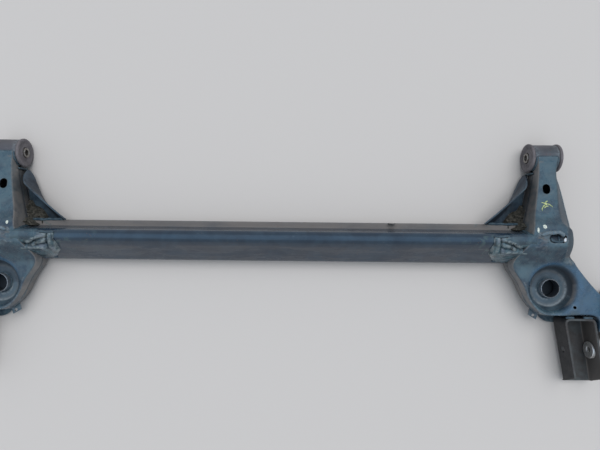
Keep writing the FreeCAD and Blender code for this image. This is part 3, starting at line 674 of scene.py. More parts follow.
def scuff_share(p, scratches):
    """Fine scratches in two directions, worn edges with a painted sheen, and what the scuffed mask marks."""
    fine = p.noise(1.3, 2, 0.5, stretch=(0.09, 1.0, 1.0), turn=0.5)
    other = p.noise(1.1, 2, 0.5, stretch=(1.0, 0.07, 1.0), turn=-0.25)
    lines = p.most(p.step(fine, 0.69, 0.73), p.step(other, 0.7, 0.74))
    lines = p.times(lines, p.step(p.noise(45, 3, 0.5), 0.5, 0.66, 0.0, 0.45 * scratches))
    # outer edges: wear, and a painted highlight where the edge catches the light
    edge = p.times(p.step(p.mask("wear_and_sheen"), 0.3, 0.95), p.step(p.noise(5, 5, 0.65), 0.42, 0.62, 0.04, 0.5))
    rubbed = p.times(p.mask("scuffed"), p.step(p.noise(6, 5, 0.65), 0.36, 0.56, 0.15, 1.0))
    return p.most(p.most(lines, edge), rubbed)


def rust_share(p):
    """Small round specks and a few larger patches."""
    specks = p.times(p.step(p.cells(6.5), 0.16, 0.07), p.step(p.noise(38, 4, 0.6), 0.56, 0.66))
    return p.most(specks, p.times(p.step(p.noise(16, 7, 0.72), 0.66, 0.74), 0.75))


def coated(name, dark, light, dust=0.5, side_dust_and_light=0.9, gloss=0.34, beam=False, scratches=1.0, scuff_and_sheen=SCUFF_AND_SHEEN,
           shine=0.45, coat=0.3):
    """Dip-coated steel after years under a car: cloudy, hazed, dusty, scuffed and specked with rust, with painted
    shade in recesses and interiors, a painted sky reflection where marked, and a painted sheen on outer edges.
    """
    p = Paints(name)
    haze, side, brown = haze_share(p, dust), side_dust_and_light_share(p, side_dust_and_light), brown_share(p, dust)
    if beam:
        haze, brown = beam_shares(p, haze, brown)
    # a painted blue sky reflection where the reflection mask marks it
    painted_reflection = p.times(p.mask("painted_reflection"), p.step(p.noise(24, 4, 0.6, warp=0.4), 0.3, 0.6, 0.55, 1.0))
    colour = p.blend(p.step(p.noise(42, 5, 0.62, warp=0.6), 0.36, 0.64), dark, light)
    for share, over in ((haze, HAZE), (painted_reflection, SKY_REFLECTION_BLUE), (side, SIDE_DUST_AND_LIGHT), (brown, DUST)):
        colour = p.blend(share, colour, over)
    if beam:
        colour = beam_colour(p, colour)
    # the shade mask carries painted shade: dark colour and dull roughness in recesses and interiors
    rust, painted_shade = rust_share(p), p.mask("painted_shade")
    scuffs = scuff_share(p, scratches)
    for share, over in ((scuffs, scuff_and_sheen), (p.times(rust, 0.8), RUST), (p.times(painted_shade, 0.94), PAINTED_SHADE)):
        colour = p.blend(share, colour, over)
    dull = p.most(p.most(p.times(haze, 0.7), p.most(side, brown)), p.most(p.times(rust, 0.9), painted_shade))
    normal = p.bump(p.noise(1.7, 3, 0.6), 0.05, 0.6)
    normal = p.bump(p.noise(14, 3, 0.5), 0.35, 0.5, over=normal)
    normal = p.bump(p.most(rust, brown), 0.12, 0.7, over=normal)
    return p.finish(colour, p.step(dull, 0.0, 0.8, gloss, 0.86), normal, Specular_IOR_Level=shine,
                    Coat_Weight=coat, Coat_Roughness=0.2)


def saddle_paint():
    """Thick paint over hand-laid weld: glossy blue-green, with painted highlights as paler patches and on worn
    edges, and painted shade in the grooves.
    """
    p = Paints("saddle_paint")
    colour = p.blend(p.step(p.noise(24, 4, 0.55, warp=0.5), 0.38, 0.62), (0.014, 0.034, 0.05), (0.05, 0.11, 0.14))
    # paler patches: painted highlights
    pale_highlight = p.step(p.noise(14, 4, 0.5, stretch=(0.5, 1, 1), warp=0.6), 0.52, 0.64, 0.0, 0.75)
    colour = p.blend(pale_highlight, colour, (0.13, 0.155, 0.2))
    # worn edges: wear with a painted highlight
    wear_and_highlight = p.times(p.step(p.mask("wear_and_sheen"), 0.2, 0.8), p.step(p.noise(7, 4, 0.6), 0.4, 0.6, 0.15, 0.9))
    colour = p.blend(wear_and_highlight, colour, (0.17, 0.215, 0.23))
    # near black in the grooves: painted shade
    colour = p.blend(p.times(p.step(p.mask("grime_and_shade"), 0.12, 0.7), 0.85), colour, (0.009, 0.015, 0.019))
    colour = p.blend(p.step(p.noise(12, 5, 0.62), 0.58, 0.7, 0.0, 0.6), colour, (0.07, 0.066, 0.064))
    normal = p.bump(p.noise(9, 4, 0.55, warp=0.4), 0.5, 0.7)
    return p.finish(colour, p.step(p.noise(12, 4, 0.6), 0.35, 0.65, 0.2, 0.5), normal, Specular_IOR_Level=0.6,
                    Coat_Weight=0.3, Coat_Roughness=0.12)


def weld_paint():
    """The same coating over weld metal: uneven, with brown heat marks."""
    p = Paints("weld_metal")
    colour = p.blend(p.step(p.noise(9, 5, 0.65), 0.35, 0.65), (0.018, 0.04, 0.062), (0.055, 0.09, 0.115))
    colour = p.blend(p.step(p.noise(5, 6, 0.7), 0.58, 0.72, 0.0, 0.6), colour, DUST)
    colour = p.blend(p.step(p.noise(12, 6, 0.7), 0.64, 0.74, 0.0, 0.6), colour, RUST)
    normal = p.bump(p.noise(1.4, 4, 0.65), 0.3, 0.8)
    return p.finish(colour, p.step(p.noise(4, 4, 0.6), 0.3, 0.7, 0.32, 0.7), normal, Specular_IOR_Level=0.55)


def rubber():
    """Aged bush rubber, grey-brown with road dust."""
    p = Paints("bush_rubber")
    colour = p.blend(p.step(p.noise(18, 5, 0.6), 0.35, 0.65), (0.1, 0.094, 0.105), (0.155, 0.146, 0.16))
    colour = p.blend(p.step(p.noise(3, 5, 0.7), 0.55, 0.7, 0.0, 0.5), colour, DUST)
    normal = p.bump(p.noise(1.1, 4, 0.6), 0.1, 0.6)
    normal = p.bump(p.step(p.cells(9), 0.0, 0.5), 0.12, 0.35, over=normal)
    return p.finish(colour, p.step(p.noise(8, 3, 0.5), 0.3, 0.7, 0.55, 0.85), normal, Specular_IOR_Level=0.35)


def worn_steel(name, bright, dull, spread=0.5):
    """Steel that a bolt or a coil has rubbed bare, with brown in the low places."""
    p = Paints(name)
    turned = p.noise(0.9, 3, 0.5, stretch=(1.0, 0.25, 0.25))
    colour = p.blend(p.step(p.noise(5, 6, 0.7), 0.36, 0.36 + spread * 0.5), dull, bright)
    colour = p.blend(p.step(p.noise(7, 6, 0.7), 0.6, 0.7, 0.0, 0.8), colour, RUST)
    normal = p.bump(turned, 0.06, 0.6)
    normal = p.bump(p.noise(2.5, 5, 0.65), 0.12, 0.6, over=normal)
    # painted shade inside tubes, where the shade mask marks them
    colour = p.blend(p.mask("painted_shade"), colour, PAINTED_SHADE)
    metal = p.step(p.noise(5, 6, 0.7), 0.36, 0.36 + spread * 0.5, 0.35, 0.95)
    metal = p.times(metal, p.step(p.mask("painted_shade"), 0.0, 1.0, 1.0, 0.0))
    p.put(p.shader.inputs["Metallic"], metal)
    return p.finish(colour, p.step(p.noise(3, 4, 0.6), 0.3, 0.7, 0.3, 0.6), normal)


def road_dirt():
    p = Paints("road_dirt")
    colour = p.blend(p.step(p.noise(5, 6, 0.7), 0.35, 0.65), (0.034, 0.035, 0.032), (0.09, 0.088, 0.078))
    colour = p.blend(p.step(p.noise(9, 5, 0.7), 0.58, 0.7), colour, (0.2, 0.19, 0.175))
    normal = p.bump(p.noise(1.6, 6, 0.75), 0.7, 0.9)
    return p.finish(colour, 0.95, normal, Specular_IOR_Level=0.15)


def marker(name, thin, thick):
    """A brushed mark, thicker in places."""
    p = Paints(name)
    colour = p.blend(p.step(p.noise(2.2, 4, 0.6), 0.4, 0.6), thin, thick)
    normal = p.bump(p.noise(1.2, 3, 0.6), 0.1, 0.6)
    return p.finish(colour, 0.6, normal)


BLUE, BLUE_LIGHT = (0.008, 0.026, 0.05), (0.034, 0.08, 0.112)  # the coating's darker and lighter patches
AXLE = coated("axle_paint", BLUE, BLUE_LIGHT, dust=0.42, gloss=0.26)
# a lighter copy of the axle paint: painted highlight on the convex lip round the weld window
ARCH_HIGHLIGHT_COAT = coated("arch_highlight_paint", (0.06, 0.12, 0.17), (0.1, 0.17, 0.23), dust=0.5)
SADDLE_COAT = saddle_paint()
WALL_COAT = coated("arm_wall_paint", BLUE, BLUE_LIGHT, dust=0.42, shine=0.12, coat=0.03)
BEAM_COAT = coated("beam_paint", (0.01, 0.026, 0.05), (0.017, 0.04, 0.07), dust=0.25, gloss=0.16, beam=True,
                   shine=0.35)
SHADE_COAT = coated("gusset_paint", (0.012, 0.022, 0.038), (0.04, 0.068, 0.1), dust=0.3, side_dust_and_light=0.05,
                    gloss=0.5, scuff_and_sheen=(0.12, 0.14, 0.15), shine=0.15, coat=0.05)
EYE_COAT = coated("eye_paint", (0.042, 0.046, 0.058), (0.07, 0.07, 0.085), dust=0.2, side_dust_and_light=0.2, gloss=0.5,
                  coat=0.1)
BLACK_COAT = coated("bracket_paint", (0.009, 0.011, 0.015), (0.025, 0.026, 0.029), dust=0.35, side_dust_and_light=0.03,
                    gloss=0.45, scuff_and_sheen=(0.13, 0.135, 0.14), shine=0.15, coat=0.05)
CUP_COAT = coated("cup_paint", (0.014, 0.03, 0.046), (0.05, 0.085, 0.115), dust=0.35, side_dust_and_light=0.1,
                  scratches=2.0)
FLANGE_COAT = coated("flange_paint", (0.016, 0.034, 0.054), (0.034, 0.07, 0.1), dust=0.4)
RIM_STEEL = worn_steel("rim_steel", (0.5, 0.52, 0.54), (0.12, 0.15, 0.18), 0.4)
BAR_COAT = coated("bar_paint", (0.02, 0.02, 0.023), (0.045, 0.045, 0.048), dust=0.3, gloss=0.4)
WELD = weld_paint()
RUBBER_SKIN = rubber()
SLEEVE_STEEL = worn_steel("sleeve_steel", (0.34, 0.33, 0.31), (0.12, 0.1, 0.09))
BRIGHT_STEEL = worn_steel("rubbed_steel", (0.85, 0.83, 0.8), (0.45, 0.43, 0.41), 0.2)
DIRT = road_dirt()
PALE_MARK = marker("pale_marker", (0.4, 0.48, 0.46), (0.75, 0.8, 0.74))
GREEN_MARK = marker("green_marker", (0.32, 0.4, 0.16), (0.62, 0.7, 0.32))


# ---------------------------------------------------------------- the arm's shape
# Foot of the arm's wall, and how far its shoulder leans from it, in four runs that meet at corners.
INBOARD_RUN = [
    (BX - 21, BY, 1, 0),
    (BX - 21, BY - 31, 1, 0),
    (BX - 30, BY - 88, 2, 0),
    (BX - 40, FRONT + 2, 2, 0),
    (BX - 48, FRONT - 30, 2, 0),
    (CX - 87, REAR, 2, 1),
    (CX - 66, CY + 9, 2, 1),
    (CX - 46, CY - 30, 2, 1.5),
    (CX - 22, ARM_REAR + 3, 1.5, 2),
    (CX + 17, ARM_REAR, 0, 2),
    (BRACKET.mid.x + 21, ARM_REAR, 0, 2),
    (BRACKET.mid.x + 30.5, ARM_REAR - 8, -1, 1),
    (BRACKET.mid.x + 30.5, HORN_REAR, -1, 1.5),
]
HORN_RUN = [(BRACKET.mid.x + 30.5, HORN_REAR, -1, 1.5), (FLANGE_FACE, HORN_REAR, 0, 1.5)]
FLANGE_RUN = [(FLANGE_FACE, HORN_REAR, 0, 1.5), (FLANGE_FACE, HORN_FRONT, 0, -1.5)]
OUTBOARD_RUN = [
    (FLANGE_FACE, HORN_FRONT, 0, -1.5),
    (CX + 89, CY - 1, -2, -2),
    (CX + 59, CY + 34, -2.5, -2),
    (CX + 36, REAR + 20, -5, -1),
    (BX + 55, FRONT - 27, -11, 1),
    (BX + 56, FRONT - 12, -18, 3),
    (BX + 54, FRONT + 2, -34, -1),
    (BX + 46, BY - 105, -31, -3),
    (BX + 35, BY - 64, -20, -3),
    (BX + 24, BY - 29, -9, -2),
    (BX + 21, BY, -2, 0),
]
EYE_RUN = [(BX + 21, BY, -2, 0), (BX - 21, BY, 1, 0)]


def arm_loop(step=4.0, front_y=BY):
    """The arm's closed outline up to front_y: foot x, foot y, shoulder x, shoulder y at each point."""
    runs = []
    for run in (INBOARD_RUN, HORN_RUN, FLANGE_RUN, OUTBOARD_RUN, EYE_RUN):
        rows = [(x, min(y, front_y), x + dx, min(y, front_y) + dy) for x, y, dx, dy in run]
        runs.append(smooth_run(rows, step))
    return np.vstack(runs)


TOP_LINE = [  # height of the arm's top face along Y
    (HORN_REAR - 5, 58), (REAR - 7, 58), (REAR + 1, 60), (REAR + 11, 66), (REAR + 31, 84), (FRONT - 40, 87),
    (FRONT - 10, 87), (FRONT - 2, 85), (FRONT + 6, 80), (FRONT + 20, 74), (BY - 97, 70), (BY - 67, 65),
    (BY - 31, 60), (BY, 59),
]
SEAT_EDGE, SEAT_HOLE = 60.0, 44.0  # where the recess for the spring seat starts and ends
ARCH = [  # the raised lip along the front of the weld window
    (WINDOW[0] - 34, WINDOW[1] + 6.5), (WINDOW[0] - 22, WINDOW[1] + 10), (WINDOW[0] - 9, WINDOW[1] + 11.5),
    (WINDOW[0] + 3, WINDOW[1] + 10.5), (WINDOW[0] + 11, WINDOW[1] + 5),
]
PRESSED = [  # small dents: middle, width, depth
    (BX - 16, BY - 11, 2.2, 1.6),
    (BX - 11, BY - 12, 1.8, 1.0),
    (BX + 9, FRONT - 56, 7.0, 1.2),
    (BX - 26, FRONT - 22, 9.0, 1.0),
    (CX + 62, CY - 12, 12.0, 1.3),
]


def arm_top(x, y):
    """Height of the arm's top face at a place."""
    rows = np.array(TOP_LINE)
    z = float(np.mean([np.interp(y + shift, rows[:, 0], rows[:, 1]) for shift in np.linspace(-8, 8, 9)]))
    over_beam = clamp((y - REAR - 6) / 12) * clamp((FRONT + 6 - y) / 12)
    z -= over_beam * OUTBOARD_FALL * max(0.0, x - BX - 24)
    radius = SEAT_EDGE - SEAT_HOLE
    reach = math.hypot(x - CX, y - CY)
    share = clamp((SEAT_EDGE - reach) / radius)
    z -= radius * (1 - math.sqrt(max(0.0, 1 - share * share)))
    for px, py, width, depth in PRESSED:
        z -= depth * math.exp(-((x - px) ** 2 + (y - py) ** 2) / (2 * width * width))
    return z + ridge_height(x, y, ARCH, 2.6, 2.0) + fan_height(x, y)


def arm_surface(x, y):
    """The arm's top face with its slight unevenness."""
    return arm_top(x, y) + rough((x, y, 0.0), 22.0, 0.35)


def ridge_height(x, y, path, width, height):
    """Height of a soft ridge that follows a path."""
    gap = 1e9
    for (ax, ay), (bx, by) in zip(path, path[1:]):
        share = clamp(((x - ax) * (bx - ax) + (y - ay) * (by - ay)) / ((bx - ax) ** 2 + (by - ay) ** 2))
        gap = min(gap, math.hypot(x - ax - share * (bx - ax), y - ay - share * (by - ay)))
    return height * math.exp(-((gap / width) ** 2)) if gap < 4 * width else 0.0


def fan_height(x, y):
    """Wrinkles that fan out on the inboard side of the weld window."""
    dx, dy = WINDOW[0] - 8 - x, y - WINDOW[1] + 8
    reach, turn = math.hypot(dx, dy), math.atan2(dy, dx)
    if dx < 0 or not 6 < reach < 44:
        return 0.0
    share = math.sin(math.pi * (reach - 6) / 38) * max(0.0, math.cos(turn))
    return 0.75 * share * math.sin(turn * 15 + 2.0 * noise.noise(Vector((x / 12, y / 12, 0.0))))


def eye_top(y):
    """Height of the eye tube's upper surface, or None beside it."""
    reach = EYE_R**2 - (y - BY) ** 2
    return BZ + math.sqrt(reach) if reach > 0 else None


def upper_rings(loop, fold=4.5):
    """Rings of the upper pressing's wall and of the fold at its shoulder."""
    feet, corners = [], []
    for fx, fy, sx, sy in loop:
        over_eye = eye_top(fy)
        feet.append(Vector((fx, fy, max(SPLIT, over_eye) if over_eye and fy > BY - EYE_R else SPLIT)))
        corners.append(Vector((sx, sy, max(feet[-1].z + 1.5, arm_top(sx, sy)))))
    radii = np.array([min(fold, 0.55 * (corner.z - foot.z)) for foot, corner in zip(feet, corners)])
    tops = inset(loop[:, 2:], radii)
    outs = loop[:, 2:] - tops
    columns = []
    for foot, corner, radius, (tx, ty), out in zip(feet, corners, radii, tops, outs):
        below = corner + (foot - corner).normalized() * radius
        top = Vector((tx, ty, arm_top(tx, ty)))
        out = Vector((*out, 0.0)).normalized()
        columns.append(folded(foot, below, corner, top, 4, out, lambda at: rough(at, 26.0, 0.5)))
    return list(zip(*columns))


def arm_upper_skin():
    loop = arm_loop()
    rings = upper_rings(loop)
    points, faces = ring_surface(rings)
    holes = [circle(CX, CY, SEAT_HOLE, 72), oval(*HOLE, 32), oval(*WINDOW, 40), circle(*DRAIN, 16)]
    extra = [circle(CX, CY, r, 72) for r in (44.6, 46.0, 48.2, 51.5, 55.5, 60.0)]
    extra += [oval(*HOLE[:2], HOLE[2] + 2 * g, HOLE[3] + 2 * g, 32) for g in (0.9, 2.4)]
    extra += [oval(*WINDOW[:2], WINDOW[2] + 2 * g, WINDOW[3] + 2 * g, 40) for g in (0.9, 2.6)]
    extra += [circle(DRAIN[0], DRAIN[1], DRAIN[2] + 0.8, 16)]
    rims = np.vstack(holes[1:])

    def height(x, y):
        gap = math.sqrt(((rims - (x, y)) ** 2).sum(1).min())
        return arm_surface(x, y) - 0.7 * math.exp(-gap / 0.8)

    capped(points, faces, rings[-1], height, 3.6, holes, extra)
    piece = welded("arm_upper_skin", points, faces)
    thickened(piece, SHEET)

    # painted shade: the skin's underside, the recess wall that faces rearwards, and the outboard wall
    def share(co, normal):
        reach, _ = around_seat(co)
        recess = 0.8 * clamp((51 - reach) / 4) * (normal.y < -0.2)
        return 1.0 if normal.z < -0.2 else max(recess, 0.6 * outboard_wall(co, normal))

    marked(piece, share)
    # painted sky reflection on the roll round the spring seat and on the pan outboard of it
    marked(piece, arm_sky_reflection, "painted_reflection")
    return pair(piece, BODY, AXLE, "axle_paint", "arm_upper_shell")


def marked(piece, share, mask="painted_shade"):
    """Sets a mask that the paints use: painted shade (inside a box or recess, or on a shaded wall; the default),
    painted sky reflection, dust with painted light, or scuffed.
    """
    set_mask(piece, mask, [float(share(v.co, v.normal)) for v in piece.data.vertices])


def around_seat(co):
    """Distance in millimetres from the spring seat's centre, and the bearing in degrees from the car's middle."""
    dx, dy = co.x / MM - CX, co.y / MM - CY
    return math.hypot(dx, dy), math.degrees(math.atan2(dy, -dx)) % 360.0


def arm_sky_reflection(co, _):
    """Where a clear blue sky reflection is painted on the roll round the spring seat and on the pan outboard of
    it.
    """
    reach, bearing = around_seat(co)
    roll = math.exp(-(((reach - 52) / 4.5) ** 2)) * float(np.interp(bearing, [5, 35, 230, 280], [0, 1, 1, 0]))
    outboard = float(np.interp(bearing, [110, 140, 220, 230], [0, 1, 1, 0])) * (co.y < (CY + 55) * MM)
    pan = float(np.interp(reach, [50, 58], [0, 0.7])) * outboard
    return min(1.0, roll + pan)


def lower_rim(y):
    """Height of the lower pressing's rim, which dips under the eye tube."""
    reach = EYE_R**2 - (y - BY) ** 2
    return SPLIT if reach <= 0 else min(SPLIT, max(FLOOR_Z + 0.6, BZ - math.sqrt(reach)))


def outboard_wall(co, normal):
    """Whether a surface belongs to the arm's outboard wall ahead of the beam, which lies in shade."""
    return normal.x > 0.45 and co.y > (REAR - 10) * MM


LEDGE = [  # outline of the rear ledge, from the arm's rear round to the bracket
    (CX - 14, ARM_REAR + 4), (CX - 4, ARM_REAR - 11), (CX + 8, LEDGE_REAR + 2), (CX + 22, LEDGE_REAR),
    (BRACKET.mid.x + 10, LEDGE_REAR), (BRACKET.mid.x + 15, LEDGE_REAR + 4), (BRACKET.mid.x + 16, ARM_REAR + 2),
]


def arm_lower_skin():
    """Tray-shaped pressing under the arm, with the rear ledge that the bracket is welded to."""
    loop = arm_loop(front_y=LOWER.high.y)
    rims = np.array([lower_rim(y) - 0.1 for y in loop[:, 1]])
    lean, radii = 0.1 * (rims - FLOOR_Z), np.minimum(7.0, 0.5 * (rims - FLOOR_Z))
    corners, unders = inset(loop[:, :2], lean), inset(loop[:, :2], lean + radii)
    columns = []
    for (x, y, _, _), height, radius, corner, under in zip(loop, rims, radii, corners, unders):
        rim, corner, under = Vector((x, y, height)), Vector((*corner, FLOOR_Z)), Vector((*under, FLOOR_Z))
        above = corner + (rim - corner).normalized() * radius
        out = (corner - under).normalized()
        columns.append(folded(rim, above, corner, under, 3, out, lambda _: rough(rim, 30.0, 0.5)))
    rings = list(zip(*columns))
    points, faces = ring_surface(rings, flip=True)

    def height(x, y):
        return FLOOR_Z + max(0.0, rough((x, y, 4.0), 60.0, 0.8))

    capped(points, faces, rings[-1], height, 9.0, flip=True)
    tray = welded("arm_lower_skin", points, faces)
    thickened(tray, SHEET)
    piece = joined("arm_lower_skin", [tray, slab("ledge", smooth_run(LEDGE, 3.0), FLOOR_Z, FLOOR_Z + SHEET, 0.8)])

    # painted shade inside the tray and on the outboard wall
    def share(co, normal):
        tray_inside = normal.z > 0.2 and co.z < SPLIT * MM - 1e-3 and co.y > ARM_REAR * MM
        return tray_inside or 0.6 * outboard_wall(co, normal)

    marked(piece, share)
    return pair(piece, BODY, WALL_COAT, "axle_paint", "arm_lower_shell")


def foot_x(rows, y):
    """X of a foot line, given as rows that start with X and Y, at a place along Y."""
    rows = sorted((row[1], row[0]) for row in rows)
    return float(np.interp(y, [r[0] for r in rows], [r[1] for r in rows]))


def arm_wall_x(y):
    """X of the foot of the arm's inboard wall."""
    return foot_x(INBOARD_RUN[:9], y)


# ---------------------------------------------------------------- gusset and saddle
GUSSET_ROWS = [  # foot x, foot y, rim x, rim y, rim z, from the beam to the eye
    (GUSSET.low.x + 29, FRONT + 1, GUSSET.low.x + 1, FRONT + 1, 47),
    (GUSSET.low.x + 43, FRONT + 15, GUSSET.low.x + 17, FRONT + 16, 53),
    (GUSSET.low.x + 55, FRONT + 28, GUSSET.low.x + 35, FRONT + 33, 58),
    (GUSSET.low.x + 65, FRONT + 42, GUSSET.low.x + 51, FRONT + 49, 62),
    (BX - 53, BY - 79, BX - 60, BY - 74, 65),
    (BX - 46, BY - 61, BX - 47, BY - 61, 62),
    (BX - 39, BY - 45, BX - 39, BY - 45, 46),
    (BX - 31, BY - 34, BX - 31, BY - 34, 24),
]


def gusset_skin():
    """Pocket-shaped brace: a leaning wall with a folded foot and a floor that runs to the arm."""
    low, fold = GUSSET.low.z, 9.0
    columns = []
    for fx, fy, tx, ty, tz in smooth_run(GUSSET_ROWS, 3.5, whole=True):
        foot, rim = Vector((fx, fy, low)), Vector((tx, ty, tz))
        wall_end = Vector((arm_wall_x(fy) + 2.0, fy, low))
        radius = min(fold, 0.45 * (rim.z - low), 0.8 * max(1.0, wall_end.x - fx))
        above = foot + (rim - foot).normalized() * radius
        under = foot + Vector((radius, 0.0, 0.0))
        wall = folded(rim, above, foot, under, 5, Vector((1.0, 0.0, 0.0)), lambda at: rough(at, 18.0, 0.8))
        columns.append(wall + [under.lerp(wall_end, k / 3) for k in (1, 2, 3)])
    piece = welded("gusset_skin", *ring_surface(list(zip(*columns)), closed=False))
    thickened(piece, SHEET)
    edges_rounded(piece, 0.7, 50.0)
    # painted shade on the wall's face towards the arm
    marked(piece, lambda co, normal: 0.6 * (normal.x > 0.3))
    return pair(piece, BODY, SHADE_COAT, "axle_paint", "arm_gusset")


SX, SY = SADDLE.low.x, SADDLE.high.y
SADDLE_FOLD_Z = 72.5
SADDLE_END = BX - 36.0  # where the plate runs in under the arm
SADDLE_SLANT = 18.0  # its foot starts this much further outboard than its fold
SADDLE_RUCKS = [  # where the hand-laid weld stands up or leaves a groove: path, width, height
    ([(SX + 17, SY - 3), (SX + 34, SY - 8), (SX + 52, SY - 17)], 4.0, 4.0),
    ([(SX + 15, SY - 13), (SX + 28, SY - 16), (SX + 42, SY - 21)], 3.4, 3.0),
    ([(SX + 12, SY - 2), (SX + 15, SY - 14), (SX + 16, SY - 28)], 2.6, -3.6),
    ([(SX + 7, SY - 4), (SX + 8, SY - 26)], 3.6, 3.4),
    ([(SX + 36, SY - 15), (SX + 54, SY - 22), (SX + 70, SY - 25)], 3.4, -4.4),
    ([(SX + 18, SY - 21), (SX + 36, SY - 23)], 3.2, -3.6),
    ([(SX + 22, SY - 9), (SX + 40, SY - 14)], 2.4, -3.4),
    ([(SX + 16, SY - 28), (SX + 44, SY - 28), (SX + 78, SY - 28)], 3.0, 2.6),
]


def saddle_profile():
    """The saddle plate's line across its end, from its crest on the beam's ridge over its fold to its foot."""
    crest, fold = (SADDLE.high.y, SADDLE.high.z), (SADDLE.high.y - 32, SADDLE_FOLD_Z)
    foot = (SADDLE.low.y + 1, SADDLE.low.z + 1)
    upper = smooth_run([crest, (crest[0] - 9, 84.0), (crest[0] - 22, 77.8), fold], 1.5)
    rear = smooth_run([fold, (fold[0] - 1.6, fold[1] - 3.2), (fold[0] - 8, 56.0), foot], 1.5, whole=True)
    return np.vstack([upper, rear])


def saddle_plate():
    """Folded plate over the end of the beam's rear flank, with the weld that closes its inboard end."""
    profile = saddle_profile()
    fold = int(np.argmax(profile[:, 1] < SADDLE_FOLD_Z + 0.1))
    cuts = [max(0.0, (k - fold) / (len(profile) - 1 - fold)) * SADDLE_SLANT for k in range(len(profile))]

    def beam_flank(y):
        return min(82.6, BEAM.low.z + 2 + (y - REAR) * BEAM_SLOPE)

    def lifted(x, k, y, z):
        px = x + 3 + cuts[k] * (SADDLE_END - x) / (SADDLE_END - SX)
        lift = sum(ridge_height(px, y, path, wide, high) for path, wide, high in SADDLE_RUCKS)
        lift += rough((px, y, z), 16.0, 1.8) * (1.0 if k <= fold else 0.5)
        lift -= 1.2 * max(0.0, 1 - (x - SX) / 3.5) + 5.0 * max(0.0, 1 - (SADDLE_END - x) / 18)
        out = (0.45, 0.8) if k <= fold else (0.8, 0.4)
        return px, y - out[0] * lift, z + out[1] * lift

    rings = [[
        (SX + 1 + cut + rough((0.0, y, z), 7.0, 2.0), y, beam_flank(y)) for cut, (y, z) in zip(cuts, profile)
    ]]
    for x in np.arange(SX, SADDLE_END, 1.6):
        rings.append([lifted(x, k, y, z) for k, (y, z) in enumerate(profile)])
    piece = sheet("saddle_plate", rings, 2.0, even=False)
    return pair(piece, BODY, SADDLE_COAT, "axle_paint", "beam_saddle", angle=40.0)


def crest_cap():
    """The rounded cap that continues the beam's ridge from the saddle into the arm."""
    arc = [(SY + 7, 78.5), (SY + 6, 83.0), (SY + 2.5, 86.6), (SY - 2, 87.6), (SY - 7, 86.8), (SY - 12, 83.4)]
    rings = []
    for x in np.arange(SX + 27, BX - 34, 2.0):
        swell = min(1.0, (x - SX - 26) / 9)
        rings.append([
            (x, SY + (y - SY) * (0.55 + 0.45 * swell), z - 3.2 * (1 - swell) + rough((x, y, 8.0), 16.0, 0.9))
            for y, z in smooth_run(arc, 1.6, whole=True)
        ])
    crest = edges_rounded(sheet("beam_crest_cap", rings, 2.0), 0.7, 45.0)
    return pair(crest, BODY, AXLE, "axle_paint")


# ---------------------------------------------------------------- beam and torsion bar
def end_outline(node):
    """The outline of a CAD node's right-hand end face, as (y, z) in millimetres."""
    copy = cad_copy(node, "outline_source")
    mesh = copy.data
    end = max((f for f in mesh.polygons if f.normal.x > 0.99), key=lambda f: f.center.x * 10 + f.area)
    outline = [(mesh.vertices[v].co.y / MM, mesh.vertices[v].co.z / MM) for v in end.vertices]
    bpy.data.objects.remove(copy)
    return outline


def finer(outline, longest=6.0, corner=0.7):
    """An outline with its long sides divided and its sharp corners cut."""
    points = [Vector(p) for p in outline]
    result = []
    for before, at, after in zip(points[-1:] + points[:-1], points, points[1:] + points[:1]):
        back, ahead = (before - at), (after - at)
        turn = math.pi - back.angle(ahead)
        if turn > math.radians(50.0):
            back, ahead = back.normalized(), ahead.normalized()
            result += [at + back * corner, at + (back + ahead) * 0.3 * corner, at + ahead * corner]
        else:
            result.append(at)
        start, count = result[-1], int((after - result[-1]).length / longest)
        for k in range(1, count + 1):
            result.append(start.lerp(after, k / (count + 1)))
    return result


def swept(name, outline, start, end, step, wander=0.0):
    """An outline in Y and Z swept along X, with small dents."""
    stations = np.linspace(start, end, max(2, int(abs(end - start) / step) + 1))
    rings = [[(x, y, z + rough((x * 0.5, y, z), 34.0, wander)) for y, z in outline] for x in stations]
    points, faces = ring_surface(rings)
    count = len(outline)
    faces += [tuple(range(count - 1, -1, -1)), tuple(range(len(points) - count, len(points)))]
    return mesh_object(name, points, faces)


def blended(piece, side, *nodes):
    """Fixes a piece's placement into its mesh, in place of its nodes."""
    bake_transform(piece)
    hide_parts(*nodes)


def bent_halves(name, make, material, slot, *nodes):
    """A part made as two halves, each running from the beam's middle out to one arm."""
    for side, sign in ((RIGHT, 1.0), (LEFT, -1.0)):
        piece = edited(make(f"{name}_{side}", sign), faces_outwards)
        set_edge_masks(piece)
        # painted shade on the ends that run in under the arms
        marked(piece, lambda co, normal: 0.85 * (abs(co.x) > (BX - 12) * MM))
        shaded(piece)
        dressed(piece, material)
        blended(piece, side, *nodes)


def cross_beam():
    outline = finer(end_outline("cross_beam"))

    def half(name, sign):
        return swept(name, outline, 0.0, sign * BEAM.high.x, 9.0, 0.5)

    bent_halves("cross_beam_skin", half, BEAM_COAT, "axle_paint", "cross_beam")


def torsion_bar():
    radius = BAR.size.y / 2
    outline = [(BAR.mid.y + radius * math.cos(a), BAR.mid.z + radius * math.sin(a))
               for a in np.linspace(0, 2 * math.pi, 40, endpoint=False)]

    def half(name, sign):
        return swept(name, outline, 0.0, sign * BAR.high.x, 12.0, 0.15)

    bent_halves("torsion_bar_skin", half, BAR_COAT, "bar_paint", "torsion_bar")


